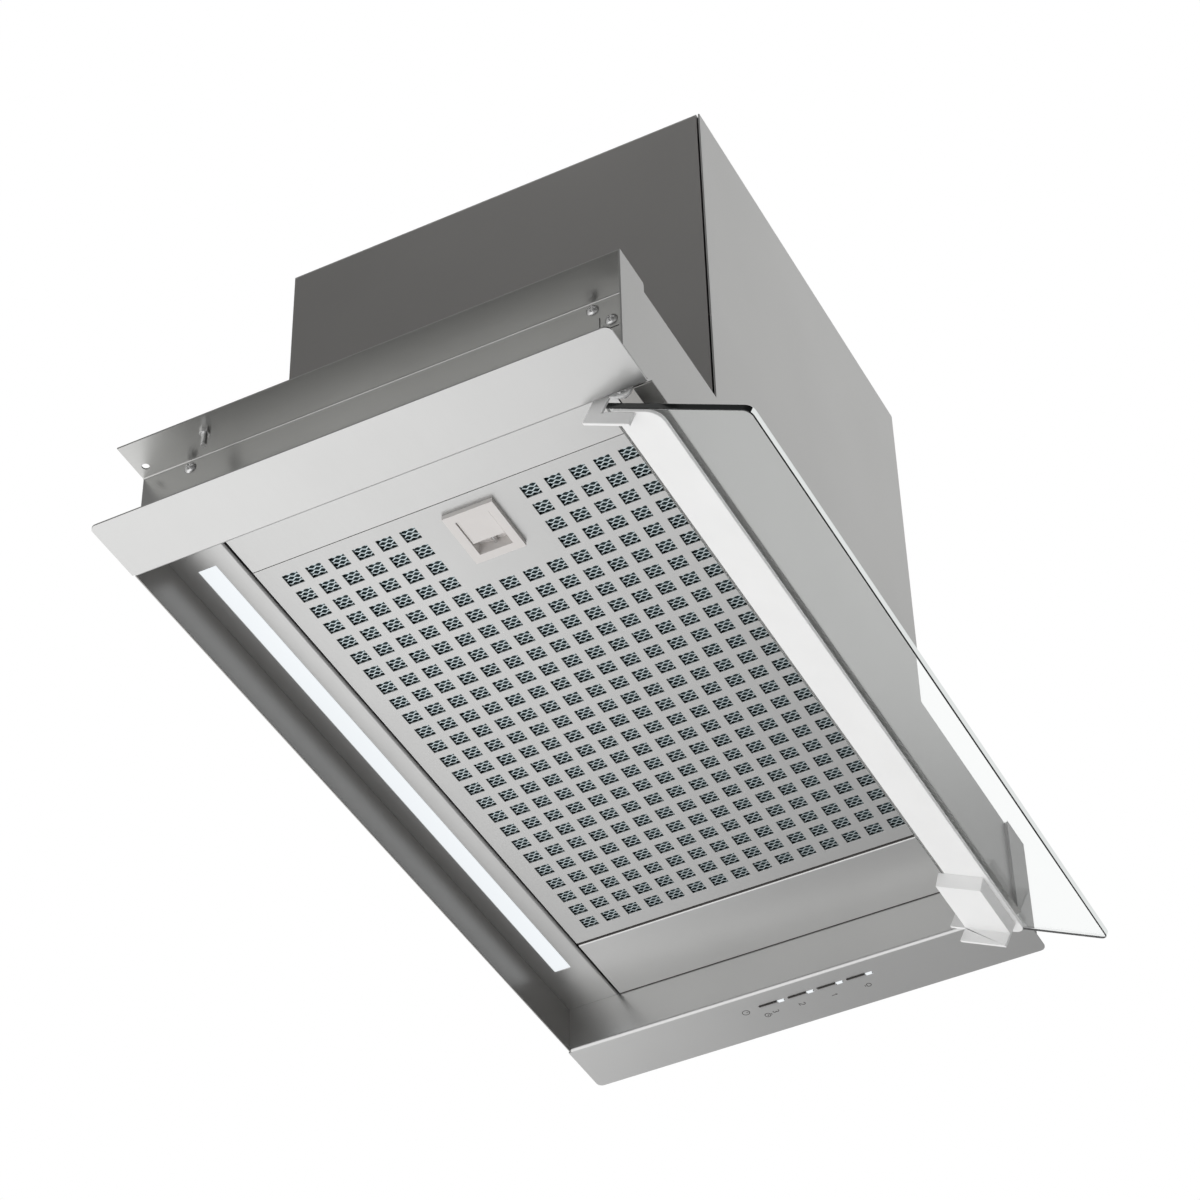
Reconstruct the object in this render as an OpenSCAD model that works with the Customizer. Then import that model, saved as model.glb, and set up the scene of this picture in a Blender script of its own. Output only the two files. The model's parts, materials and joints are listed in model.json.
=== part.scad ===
/* [Frame] */
// Overall width across both end flanges
frame_w = 598; // [580:1:640]
// Depth of the end flanges from front to back
frame_d = 312; // [308:1:330]
// Width of each end flange outside the opening
flange_w = 45; // [44:1:50]
// Height of the cabinet fixing plane above the underside
frame_drop = 74; // [74:1:84]
// Height of the canopy walls above the underside
canopy_h = 73; // [72:0.5:74]
// Height of the recess below the filter
recess_h = 32; // [30:0.5:34]
// Thickness of the steel sheet
sheet_t = 1; // [0.8:0.1:1.2]
// Outside radius of the sheet's folds
fold_r = 2; // [1.6:0.1:2.2]
// Radius of the flanges' outer corners
flange_corner_r = 4; // [2:0.5:8]
// Distance of the back wall's outer face inside the flanges' back edge
back_inset = 1; // [0.5:0.1:2]
// Distance of the front panel behind the flanges' front edge
panel_inset = 2; // [1:0.1:3]

/* [Mounting brackets] */
// Width of the fixing flange outside the canopy wall
fixing_flange_w = 27; // [26:0.5:28]
// Distance of the fixing holes from the canopy wall
fixing_hole_inset = 8; // [7:0.5:10]
// Distance of the fixing holes inside the frame's front and back edges
fixing_hole_end = 7.5; // [6:0.5:11]
// Radius of the cabinet fixing holes
fixing_hole_r = 2.25; // [2:0.05:2.6]

/* [Motor box] */
// Width of the motor box
box_w = 286; // [280:1:292]
// Shift of the motor box to the left of the middle
box_shift = 19.5; // [10:0.5:30]
// Distance of the box's back face in front of the canopy's back wall
box_back_gap = 30.7; // [28:0.1:32]
// Height of the motor box above the fixing plane
box_h = 240; // [238:1:260]
// Width of the folded feet at the bottom of the motor box
box_foot_w = 12; // [8:1:16]

/* [Duct] */
// Outside radius of the duct collar
collar_r = 74.5; // [74:0.1:75]
// Wall of the duct collar
collar_wall = 3; // [2.5:0.1:3.2]
// Height of the duct collar above its flange
collar_h = 35; // [30:1:50]
// Radius of the damper pin
damper_pin_r = 2; // [1.8:0.1:2.2]

/* [Blower] */
// Height of the duct between the scroll's outlet and the lid
duct_h = 35.3; // [30:0.1:40]
// Scroll radius at the outlet for each unit of its radius at the tongue
scroll_growth = 1.5; // [1.45:0.01:1.52]
// Gap between the fan wheel and the scroll's tongue
tongue_gap = 8; // [7:0.5:10]
// Length of the fan wheel
wheel_w = 96; // [90:1:98]
// Gap between the fan wheel's ends and the scroll's sides
wheel_end_gap = 4; // [3.5:0.5:5]
// Wall of the plastic scroll
scroll_wall = 2.5; // [2:0.1:3]
// Distance of the scroll's inlets inside the fan wheel's rim
inlet_inset = 12; // [10:0.5:13]
// Gap between the motor and the fan wheel's blades
motor_side_gap = 16; // [14:0.5:20]
// Length of the motor
motor_len = 52; // [50:1:56]
// Radius of the motor shaft
shaft_r = 4; // [3.5:0.1:4.5]

/* [Grease filter] */
// Distance between the filter and the left end wall
filler_w = 55.7; // [54:0.1:58]
// Distance between the filter and the right end wall
right_filler_w = 61; // [60:0.5:63]
// Distance between the front rim and the filter
front_ledge_d = 23.5; // [23:0.1:26]
// Height of the filter tray
filter_h = 10; // [9:0.5:12]
// Distance from one square hole to the next
hole_pitch = 15; // [14.9:0.1:15.1]
// Side of a square hole
hole_side = 9.5; // [8:0.1:11]

/* [Filter latch] */
// Width of the latch bezel
latch_w = 40; // [38:0.5:42]
// Depth of the latch bezel
latch_d = 31.3; // [30:0.1:33]
// Height by which the bezel stands proud of the filter
latch_proud = 3; // [2.5:0.1:3.5]
// Travel of the latch slider
latch_travel = 7.5; // [6:0.1:8]

/* [Light] */
// Distance of the lit strip's ends from the end walls
lens_end_gap = 41; // [34:1:54]
// Width of the lit strip
lens_w = 11; // [9:0.1:12]
// Depth of the panel that holds the light
light_panel_d = 35.5; // [35:0.1:36]

/* [Glass visor] */
// Gap between the glass visor's ends and the end walls
glass_side_gap = 3; // [2:0.5:6]
// Depth of the glass visor from its inner edge to its outer edge
glass_d = 90; // [80:1:100]
// Thickness of the glass
glass_t = 4; // [3:0.1:5]
// Radius of the glass's outer corners
glass_corner_r = 5; // [3:0.5:10]
// Slope of the folded out visor below the level
visor_slope = 26.6; // [24:0.1:28]
// Depth of the white rail
rail_d = 30; // [26:0.5:32]
// Thickness of the white rail
rail_t = 2.2; // [1.8:0.1:2.6]
// Radius of the visor's hinge pins
hinge_pin_r = 2.5; // [2:0.1:3]

/* [Controls] */
// Length of one control slot
slot_len = 17.8; // [17:0.1:18.5]
// Width of a control slot
slot_w = 2.9; // [2.6:0.1:3.2]
// Distance from one control slot to the next
slot_pitch = 20.2; // [20:0.1:21]
// Travel of a pressed key
key_travel = 1.2; // [0.8:0.1:1.4]

/* [Hidden] */
$fn = 48;

// One overrun for all cuts and one small gap where separate pieces lie beside each other
overrun = 0.5;
seat_gap = 0.3;
// Radial clearance of a pin that turns or a screw that passes
run_clear = 0.05;
screw_clear = 0.15;

// Heights and faces that the frame's pieces share
under_z = -frame_drop;
recess_z = under_z + recess_h;
canopy_z = under_z + canopy_h;
panel_top_z = recess_z + sheet_t;
wall_x = frame_w / 2 - flange_w;
side_x = wall_x + sheet_t;
bracket_x = side_x + sheet_t;
ear_x = bracket_x + fixing_flange_w;
front_y = -frame_d / 2;
back_y = frame_d / 2 - back_inset;
back_inner_y = back_y - sheet_t;
panel_y0 = front_y + panel_inset;
panel_y1 = panel_y0 + sheet_t;
fixing_hole_span = frame_d - 2 * fixing_hole_end;

// Screws with pan heads
screw_r = 1.9;
screw_head_r = 3.9;
screw_head_h = 2.4;
screw_dome_r = (screw_head_r * screw_head_r + screw_head_h * screw_head_h) / (2 * screw_head_h);
screw_reach = 3.5;
screw_cross_w = 0.9;
screw_cross_len = 4.6;
screw_cross_deep = 1;

// Places of the screws in the canopy's end walls, as distances from the front and from the top
end_screw_drop = 6.5;
end_screw_front = 30;
end_screw_back = 31;
tab_screw_front = 19;
tab_screw_drop = 19;
// Slits that free the tab under the third screw
tab_slit_w = 0.8;
tab_slit_len = 9;
tab_slit_off = 6.5;
end_screw_places = [
    [front_y + end_screw_front, -end_screw_drop],
    [back_y - end_screw_back, -end_screw_drop],
    [front_y + tab_screw_front, -tab_screw_drop]
];

// Clamp screws that hang through the fixing flanges
clamp_screw_x = 16;
clamp_screw_back = 50;
clamp_screw_r = 1.8;
clamp_screw_len = 11;
clamp_nut_r = 3.2;
clamp_nut_h = 2.6;

// Front rim under the canopy
rim_ahead = 2;
rim_d = 9;
rim_inner_y = front_y + rim_d;
ledge_gap = 0.5;

// Filter place: its front, left and right faces
filter_x0 = -wall_x + filler_w + seat_gap;
filter_x1 = wall_x - right_filler_w;
filter_w = filter_x1 - filter_x0;
filter_hinge_gap = 1.6;
light_gap = 1.5;
light_panel_y = back_inner_y - light_panel_d;
filter_y1 = light_panel_y - light_gap;
filter_y0 = rim_inner_y + front_ledge_d;
filter_d = filter_y1 - filter_y0;
panel_edge_h = 10;
hinge_tab_w = 16;
hinge_tab_off = 70;
hinge_tab_len = 6;
hinge_tab_t = 1.5;
hinge_notch_h = 2;
hinge_notch_side = 1;

// Square holes: least margins of the outermost holes' centres and the bare field around the latch
hole_margin_x = 14.5;
hole_margin_y = 17.4;
hole_margin_front = 12.5;
hole_columns = floor((filter_w - 2 * hole_margin_x) / hole_pitch) + 1;
hole_rows = floor((filter_d - hole_margin_y - hole_margin_front) / hole_pitch) + 1;
bare_columns = 4;
bare_first_row = 5;
bare_rows = 4;

// Mesh and the grid over it
mesh_t = 5;
grid_t = 1.2;
grid_rim_w = 9;
grid_bars = 5;
grid_bar_w = 5;

// Latch: the bezel's place in the filter and its pocket
latch_margin_x = 9.4;
latch_margin_y = 94.5;
latch_x0 = filter_x0 + latch_margin_x;
latch_y0 = filter_y0 + latch_margin_y;
latch_frame_w = 5.7;
latch_slot_d = 20.7;
slider_end_gap = 1;
slider_w = latch_w - 2 * latch_frame_w - seat_gap - latch_travel - slider_end_gap;
slider_t = 1.5;
slider_sunk = 0.8;
latch_pocket_h = mesh_t + sheet_t;
latch_wall = 1.2;
slider_neck_w = 8;
slider_neck_d = 10;
tongue_t = 1.5;
tongue_lift = 3;
latch_side_gap = 0.4;
spring_r = 1.4;
spring_bore_r = 0.8;
spring_len = 8.4;

// Damper flaps in the collar
collar_flange_r = 88;
collar_flange_t = 3;
damper_lift = 9;
flap_t = 1.6;
flap_gap = 1;
flap_hub_r = 3.2;
flap_hub_gap = 0.6;
stop_lip_w = 2.2;
stop_lip_h = 2;
collar_screw_count = 4;
collar_screw_inset = 4.8;
collar_screw_ring = collar_flange_r - collar_screw_inset;
inner_collar_r = collar_r - collar_wall;
damper_z = box_h + collar_flange_t + damper_lift;

// Motor box faces, and the duct collar's place in front of its back face
box_x0 = -box_shift - box_w / 2;
box_x1 = -box_shift + box_w / 2;
box_y1 = back_y - box_back_gap;
lid_z = box_h - sheet_t;
collar_back = 109.3;
collar_y = box_y1 - collar_back;

// Blower: its axis runs from side to side. The scroll fills the box's height, or its depth where
// that is less, and the reaches below and in front of the axis are for a tongue radius of one
blower_floor_gap = 2;
blower_back_gap = 5;
blower_front_gap = 12;
outlet_neck_h = 12;
low_turn_share = 0.68;
low_reach = 1 + (scroll_growth - 1) * low_turn_share;
front_reach = 1 + (scroll_growth - 1) / 3;
scroll_room_h = lid_z - canopy_z - sheet_t - blower_floor_gap - scroll_wall - outlet_neck_h - duct_h;
scroll_room_d = box_y1 - sheet_t - blower_back_gap - panel_y1 - blower_front_gap - 2 * scroll_wall;
scroll_r_start = min(scroll_room_h / (low_reach + 1), scroll_room_d / (front_reach + scroll_growth));
scroll_r_end = scroll_r_start * scroll_growth;
scroll_w = wheel_w + 2 * wheel_end_gap;
scroll_half = scroll_w / 2;
blower_x = -box_shift;
blower_y = panel_y1 + blower_front_gap + scroll_wall + scroll_r_start * front_reach;
blower_z = lid_z - duct_h - outlet_neck_h - scroll_r_start;
outlet_z = lid_z - duct_h;
wheel_r = scroll_r_start - tongue_gap;
inlet_r = wheel_r - inlet_inset;
inlet_lip_w = 3;
inlet_lip_h = 3;
duct_wall = 2;
blade_count = 30;
blade_t = 1.2;
blade_ring_w = 14;
motor_r = wheel_r - blade_ring_w - motor_side_gap;
blade_lean = 28;
wheel_rim_t = 2;
wheel_disc_t = 2;
wheel_hub_r = 10;
wheel_hub_h = 9;
motor_gap = 6;
motor_wall = 2;
stator_len = 30;
stator_bore_share = 0.65;
stator_bore_r = stator_bore_share * (motor_r - motor_wall);
rotor_gap = 0.6;
rotor_r = stator_bore_r - rotor_gap;
shaft_end = 4;
bracket_arm_w = 12;
bracket_arm_t = 2;
bracket_ring_w = 14;
bracket_ring_r = shaft_r + shaft_end + bracket_ring_w;
bracket_foot_reach = 16;
bracket_foot_r = inlet_r + bracket_foot_reach;
arm_count = 3;
blower_screw_out = 11;
blower_screw_ring = inlet_r + blower_screw_out;

// Electronics on the motor box's left wall
case_size = [32, 62, 110];
case_back_gap = 66.3;
case_y0 = box_y1 - case_back_gap;
case_z0 = 60;
case_wall = 2;
case_cover_t = 2.5;
board_t = 1.6;
board_stand = 6;
part_size = [14, 18, 22];
capacitor_r = 14;
capacitor_len = 50;
gland_x = 22;
gland_y = 28;
gland_r = 9;
gland_flange_r = 12;
gland_flange_t = 3;
gland_h = 16;
gland_nut_r = 11.5;
gland_nut_h = 5;
gland_bore_r = 4;

// Light strip over its slot
lens_len = 2 * (wall_x - lens_end_gap);
lens_side_gap = 0.2;
lens_lip = 2;
lens_lip_t = 1.5;
lens_rib_t = 1.2;
lens_rib_h = 2.5;
lens_margin = 19;
lens_y = light_panel_y + lens_margin;
chip_size = [5, 3, 0.8];
chip_count = 24;
driver_size = [40, 80, 20];
driver_inset_x = 6;
driver_back_gap = 97;
driver_y0 = filter_y1 - driver_back_gap;

// Visor: the inner top edge of the glass, and pieces measured from it along its slope
visor_inset = 25;
visor_y = front_y + visor_inset;
visor_z = under_z + seat_gap;
glass_w = 2 * (wall_x - glass_side_gap);
rail_inset = 5;
rail_corner_r = 8;
visor_bracket_h = 8;
visor_bracket_d = 31;
visor_bracket_inset = 1;
visor_bracket_w = 50;
visor_bracket_bevel = 3;
right_cheek_inset = 10.5;
left_cheek_x = glass_w / 2;
right_cheek_x = glass_w / 2 - right_cheek_inset;
cheek_t = 2;
cheek_drop = 9;
left_cheek_drop = 8;
left_cheek_front = 20;
arm_d = 9;
arm_clear = 1;
hinge_fore = 5;
hinge_up = 8.9;
hinge_eye_r = 5.4;
pin_collar_r = 4;
pin_head_r = 4;
pin_head_t = 1;
pin_side_gap = 0.3;
glass_low = -glass_t - rail_t;
hinge_y = visor_y - hinge_fore * cos(visor_slope) - hinge_up * sin(visor_slope);
hinge_z = visor_z - hinge_fore * sin(visor_slope) + hinge_up * cos(visor_slope);

// Controls in the right flange
key_count = 4;
slot_inset = 15.4;
slot_x = wall_x + slot_inset;
slot_y0 = 18.4;
key_w = 2.4;
key_end_gap = 0.2;
pipe_len = 3.6;
pipe_end_gap = 1;
key_len = slot_len - key_end_gap - seat_gap - pipe_len - pipe_end_gap;
key_proud = 0.6;
key_h = 10;
key_shoulder_w = 6;
key_shoulder_t = 1.6;
control_side_gap = 1.5;
control_x0 = bracket_x + control_side_gap;
control_x1 = ear_x - control_side_gap;
control_y_margin = 9;
control_post_w = 5;
control_h = 20;
control_wall = 1.5;
switch_size = [6, 6, 2];
switch_clear = 0.3;
switch_gap = key_travel + switch_clear;
control_board_z = under_z + key_h + switch_gap + switch_size[2];
control_y1 = slot_y0 + slot_len / 2 + control_y_margin;
control_y0 = slot_y0 - (key_count - 1) * slot_pitch - slot_len / 2 - control_y_margin;

steel = [0.72, 0.72, 0.71];
dark_steel = [0.45, 0.45, 0.44];
white = [0.94, 0.94, 0.93];
dark_plastic = [0.16, 0.16, 0.17];
grey_plastic = [0.55, 0.56, 0.57];

// A block between two opposite corners
module slab(lo, hi) {
    translate(lo) cube(hi - lo);
}

// A profile drawn in x and z, carried from y0 to y1
module prism_y(y0, y1) {
    translate([0, y1, 0]) rotate([90, 0, 0]) linear_extrude(y1 - y0) children();
}

// A profile drawn in y and z, carried from x0 to x1
module prism_x(x0, x1) {
    translate([x0, 0, 0]) rotate([90, 0, 90]) linear_extrude(x1 - x0) children();
}

module rect(lo, hi) {
    translate(lo) square(hi - lo);
}

// A quarter of a sheet's fold around the origin, turned to the quarter that it fills
module fold_quarter(turn) {
    rotate(turn) intersection() {
        difference() {
            circle(fold_r);
            circle(fold_r - sheet_t);
        }
        square(fold_r);
    }
}

// A plate outline from x0 to x1 and y0 to y1 with both corners at y0 rounded
module round_front_plan(x0, x1, y0, y1, r) {
    rect([x0, y0 + r], [x1, y1]);
    rect([x0 + r, y0], [x1 - r, y1]);
    translate([x0 + r, y0 + r]) circle(r);
    translate([x1 - r, y0 + r]) circle(r);
}

// A pan head screw that points along -z, with its head's seat at the origin
module pan_screw(reach) {
    difference() {
        rotate_extrude() intersection() {
            translate([0, screw_head_h - screw_dome_r]) circle(screw_dome_r);
            square([screw_head_r, screw_head_h]);
        }
        for (turn = [0, 90]) rotate(turn)
            translate([-screw_cross_len / 2, -screw_cross_w / 2, screw_head_h - screw_cross_deep])
                cube([screw_cross_len, screw_cross_w, screw_head_h]);
    }
    translate([0, 0, -reach]) cylinder(r = screw_r, h = reach);
}

module screw_hole(depth) {
    translate([0, 0, -depth]) cylinder(r = screw_r + screw_clear, h = depth + overrun);
}

// Puts a screw form at each place in the right end wall, pointing inwards
module at_end_screws() {
    for (p = end_screw_places)
        translate([bracket_x, p[0], p[1]]) rotate([0, 90, 0]) children();
}

// Frame sheets

module end_frame() {
    difference() {
        union() {
            translate([0, 0, under_z]) linear_extrude(sheet_t)
                rotate(90)
                    round_front_plan(front_y, -front_y, -frame_w / 2, -wall_x - fold_r, flange_corner_r);
            prism_y(front_y, back_inner_y) {
                rect([wall_x, under_z + fold_r], [side_x, canopy_z - sheet_t]);
                translate([wall_x + fold_r, under_z + fold_r]) fold_quarter(180);
                rect([wall_x + fold_r, under_z], [wall_x + fold_r + overrun, under_z + sheet_t]);
            }
        }
        slab([wall_x - overrun, front_y - overrun, under_z + fold_r],
             [side_x + overrun, panel_y1, canopy_z + overrun]);
        at_end_screws() screw_hole(screw_reach);
        translate([wall_x - overrun, hinge_y, hinge_z]) rotate([0, 90, 0])
            cylinder(r = hinge_pin_r + run_clear, h = sheet_t + 2 * overrun);
    }
}

module left_end_frame() {
    color(steel) mirror([1, 0, 0]) end_frame();
}

module right_end_frame() {
    color(steel) difference() {
        end_frame();
        for (k = [0 : key_count - 1])
            translate([slot_x, slot_y0 - k * slot_pitch, under_z - overrun])
                translate([-slot_w / 2, -slot_len / 2])
                    cube([slot_w, slot_len, sheet_t + 2 * overrun]);
    }
}

module mounting_bracket() {
    leg_fold_x = side_x + fold_r;
    difference() {
        union() {
            prism_y(front_y, back_y) {
                rect([side_x, under_z + fold_r], [bracket_x, -fold_r]);
                translate([leg_fold_x, -fold_r]) fold_quarter(90);
                rect([leg_fold_x, -sheet_t], [ear_x, 0]);
            }
            slab([bracket_x, front_y, under_z + sheet_t + seat_gap],
                 [ear_x, front_y + sheet_t, 0]);
        }
        for (y = [-fixing_hole_span / 2, fixing_hole_span / 2])
            translate([bracket_x + fixing_hole_inset, y, -sheet_t - overrun])
                cylinder(r = fixing_hole_r, h = sheet_t + 2 * overrun);
        translate([bracket_x + clamp_screw_x, back_y - clamp_screw_back, -sheet_t - overrun])
            cylinder(r = clamp_screw_r + screw_clear, h = sheet_t + 2 * overrun);
        at_end_screws() screw_hole(screw_reach);
        translate([side_x - overrun, front_y + tab_screw_front, -tab_screw_drop]) {
            translate([0, tab_slit_off, -tab_slit_len / 2])
                cube([sheet_t + 2 * overrun, tab_slit_w, tab_slit_len]);
            translate([0, -tab_slit_len / 2, -tab_slit_off])
                cube([sheet_t + 2 * overrun, tab_slit_len, tab_slit_w]);
        }
    }
}

module left_mounting_bracket() {
    color(dark_steel) mirror([1, 0, 0]) mounting_bracket();
}

module right_mounting_bracket() {
    color(dark_steel) mounting_bracket();
}

// The front sheet stands on the rim and also closes the front of the motor box
module front_panel() {
    color(steel) prism_y(panel_y0, panel_y1) {
        rect([-wall_x, under_z + sheet_t], [wall_x, under_z + fold_r]);
        rect([-side_x, under_z + fold_r], [side_x, canopy_z]);
        rect([box_x0, canopy_z], [box_x1, box_h]);
    }
}

module front_rim() {
    color(dark_steel) prism_x(-wall_x, wall_x) {
        rect([front_y - rim_ahead, under_z], [rim_inner_y, under_z + sheet_t]);
        rect([rim_inner_y - sheet_t, under_z], [rim_inner_y, panel_top_z]);
        rect([rim_inner_y - sheet_t, recess_z], [filter_y0 - ledge_gap, panel_top_z]);
    }
}

module back_wall() {
    color(dark_steel) slab([-side_x, back_inner_y, under_z], [side_x, back_y, canopy_z - sheet_t]);
}

module canopy_top_plate() {
    color(dark_steel) difference() {
        slab([-side_x, panel_y1, canopy_z - sheet_t], [side_x, back_y, canopy_z]);
        slab([box_x0 + box_foot_w, panel_y1 + box_foot_w, canopy_z - sheet_t - overrun],
             [box_x1 - box_foot_w, box_y1 - box_foot_w, canopy_z + overrun]);
        at_box_screws() screw_hole(screw_reach);
    }
}

module left_filler_panel() {
    edge_x = -wall_x + filler_w;
    color(steel) {
        slab([-wall_x, filter_y0, recess_z], [edge_x, filter_y1, panel_top_z]);
        slab([edge_x - sheet_t, filter_y0, recess_z], [edge_x, filter_y1, recess_z + panel_edge_h]);
    }
}

module right_filler_panel() {
    edge_x = filter_x1 + filter_hinge_gap;
    color(steel) difference() {
        prism_y(filter_y0, filter_y1) {
            rect([edge_x + fold_r, recess_z], [wall_x, panel_top_z]);
            translate([edge_x + fold_r, recess_z + fold_r]) fold_quarter(180);
            rect([edge_x, recess_z + fold_r], [edge_x + sheet_t, recess_z + panel_edge_h]);
        }
        for (y = hinge_tab_places())
            slab([edge_x - overrun, y - hinge_tab_w / 2 - hinge_notch_side, recess_z + hinge_notch_h],
                 [edge_x + sheet_t + overrun, y + hinge_tab_w / 2 + hinge_notch_side,
                  recess_z + panel_edge_h + overrun]);
    }
}

// Motor box

function box_screw_places() = [
    for (x = [box_x0 + box_foot_w / 2, box_x1 - box_foot_w / 2], y = [front_y / 2, box_y1 / 2]) [x, y]
];

module at_box_screws() {
    for (p = box_screw_places())
        translate([p[0], p[1], canopy_z + sheet_t]) children();
}

module motor_box() {
    color(dark_steel) difference() {
        union() {
            difference() {
                slab([box_x0, panel_y1, canopy_z], [box_x1, box_y1, lid_z]);
                slab([box_x0 + sheet_t, panel_y1 - overrun, canopy_z - overrun],
                     [box_x1 - sheet_t, box_y1 - sheet_t, lid_z + overrun]);
            }
            difference() {
                slab([box_x0, panel_y1, canopy_z], [box_x1, box_y1, canopy_z + sheet_t]);
                slab([box_x0 + box_foot_w, panel_y1 - overrun, canopy_z - overrun],
                     [box_x1 - box_foot_w, box_y1 - box_foot_w, canopy_z + sheet_t + overrun]);
            }
        }
        at_box_screws() screw_hole(screw_reach);
    }
}

module motor_box_lid() {
    color(dark_steel) difference() {
        slab([box_x0, panel_y1, lid_z], [box_x1, box_y1, box_h]);
        translate([blower_x, collar_y, lid_z - overrun])
            cylinder(r = inner_collar_r, h = sheet_t + 2 * overrun);
        translate([box_x0 + gland_x, box_y1 - gland_y, lid_z - overrun])
            cylinder(r = gland_r + screw_clear, h = sheet_t + 2 * overrun);
        at_collar_screws() screw_hole(collar_flange_t + screw_reach);
    }
}

module motor_box_screws() {
    color(grey_plastic) at_box_screws() pan_screw(screw_reach);
}

// Duct collar and damper

module at_collar_screws() {
    for (k = [0 : collar_screw_count - 1])
        translate([blower_x, collar_y, box_h + collar_flange_t])
            rotate(45 + k * 360 / collar_screw_count)
                translate([collar_screw_ring, 0, 0]) children();
}

module duct_collar() {
    color(dark_plastic) difference() {
        translate([blower_x, collar_y, box_h]) {
            difference() {
                union() {
                    cylinder(r = collar_flange_r, h = collar_flange_t);
                    cylinder(r = collar_r, h = collar_flange_t + collar_h);
                }
                translate([0, 0, -overrun])
                    cylinder(r = inner_collar_r, h = collar_flange_t + collar_h + 2 * overrun);
            }
            translate([0, 0, damper_lift + collar_flange_t - flap_t / 2 - seat_gap - stop_lip_h])
                difference() {
                    cylinder(r = inner_collar_r + overrun, h = stop_lip_h);
                    translate([0, 0, -overrun])
                        cylinder(r = inner_collar_r - stop_lip_w, h = stop_lip_h + 2 * overrun);
                }
        }
        translate([blower_x, collar_y, damper_z]) rotate([90, 0, 0])
            cylinder(r = damper_pin_r + run_clear, h = 2 * collar_r + 2 * overrun, center = true);
        at_collar_screws() screw_hole(collar_flange_t + overrun);
    }
}

module collar_screws() {
    color(grey_plastic) at_collar_screws() pan_screw(collar_flange_t + screw_reach);
}

module damper_pin() {
    color(steel) translate([blower_x, collar_y, damper_z]) rotate([90, 0, 0])
        cylinder(r = damper_pin_r, h = 2 * collar_r, center = true);
}

// One half disc whose hinge barrels take every second place along the pin
module damper_flap(first) {
    flap_r = inner_collar_r - flap_gap;
    barrel_places = 4;
    barrel_span = (flap_r - flap_hub_r) * 2 / barrel_places;
    difference() {
        union() {
            intersection() {
                cylinder(r = flap_r, h = flap_t, center = true);
                translate([flap_hub_r + flap_hub_gap, -flap_r, -flap_t / 2])
                    cube([flap_r, flap_r * 2, flap_t]);
            }
            for (k = [first : 2 : barrel_places - 1])
                translate([0, (k - barrel_places / 2) * barrel_span + flap_hub_gap / 2, 0]) {
                    translate([0, 0, -flap_t / 2])
                        cube([flap_hub_r * 2, barrel_span - flap_hub_gap, flap_t]);
                    rotate([-90, 0, 0]) cylinder(r = flap_hub_r, h = barrel_span - flap_hub_gap);
                }
        }
        rotate([90, 0, 0])
            cylinder(r = damper_pin_r + run_clear, h = 2 * collar_r, center = true);
    }
}

module left_damper_flap() {
    color(grey_plastic) translate([blower_x, collar_y, damper_z]) mirror([1, 0, 0]) damper_flap(0);
}

module right_damper_flap() {
    color(grey_plastic) translate([blower_x, collar_y, damper_z]) damper_flap(1);
}

module outlet_duct() {
    module funnel(grow, over) {
        hull() {
            translate([blower_x - scroll_half - grow, blower_y - grow, outlet_z - over])
                cube([scroll_w + 2 * grow, scroll_r_end + 2 * grow, overrun]);
            translate([blower_x, collar_y, lid_z - overrun + over])
                cylinder(r = inner_collar_r + grow, h = overrun);
        }
    }
    color(dark_plastic) difference() {
        funnel(duct_wall, 0);
        funnel(0, overrun);
    }
}

// Blower

// Outline of the scroll from the tongue round to the outlet, with a wall's growth
function scroll_radius(a) =
    scroll_r_start + (scroll_r_end - scroll_r_start) * (a - 90) / 270;
function scroll_points(grow) = concat(
    [for (a = [100 : 10 : 360]) (scroll_radius(a) + grow) * [cos(a), sin(a)]],
    [[scroll_r_end + grow, outlet_z - blower_z], [-grow, outlet_z - blower_z]],
    [[-grow, scroll_r_start + grow]]
);

module scroll_plan(grow) {
    translate([blower_y, blower_z]) polygon(scroll_points(grow));
}

// The half of the scroll on the right of the wheel's middle
module scroll_half_shell() {
    difference() {
        prism_x(0, scroll_half + scroll_wall) scroll_plan(scroll_wall);
        prism_x(-overrun, scroll_half) {
            scroll_plan(0);
            translate([blower_y, outlet_z - overrun]) square([scroll_r_end, 2 * overrun]);
        }
        translate([0, blower_y, blower_z]) rotate([0, 90, 0])
            cylinder(r = inlet_r, h = scroll_w);
        for (k = [0 : arm_count - 1])
            translate([scroll_half + scroll_wall, blower_y, blower_z])
                rotate([k * 360 / arm_count, 0, 0]) translate([0, 0, blower_screw_ring])
                    rotate([0, 90, 0]) screw_hole(screw_reach);
    }
    translate([scroll_half + scroll_wall, blower_y, blower_z]) rotate([0, 90, 0]) difference() {
        cylinder(r = inlet_r + inlet_lip_w, h = inlet_lip_h);
        translate([0, 0, -overrun]) cylinder(r = inlet_r, h = inlet_lip_h + 2 * overrun);
    }
}

module right_blower_housing() {
    color(dark_plastic) translate([blower_x, 0, 0]) scroll_half_shell();
}

module left_blower_housing() {
    color(dark_plastic) translate([blower_x, 0, 0]) mirror([1, 0, 0]) scroll_half_shell();
}

module on_blower_axis() {
    translate([blower_x, blower_y, blower_z]) rotate([0, 90, 0]) children();
}

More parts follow.
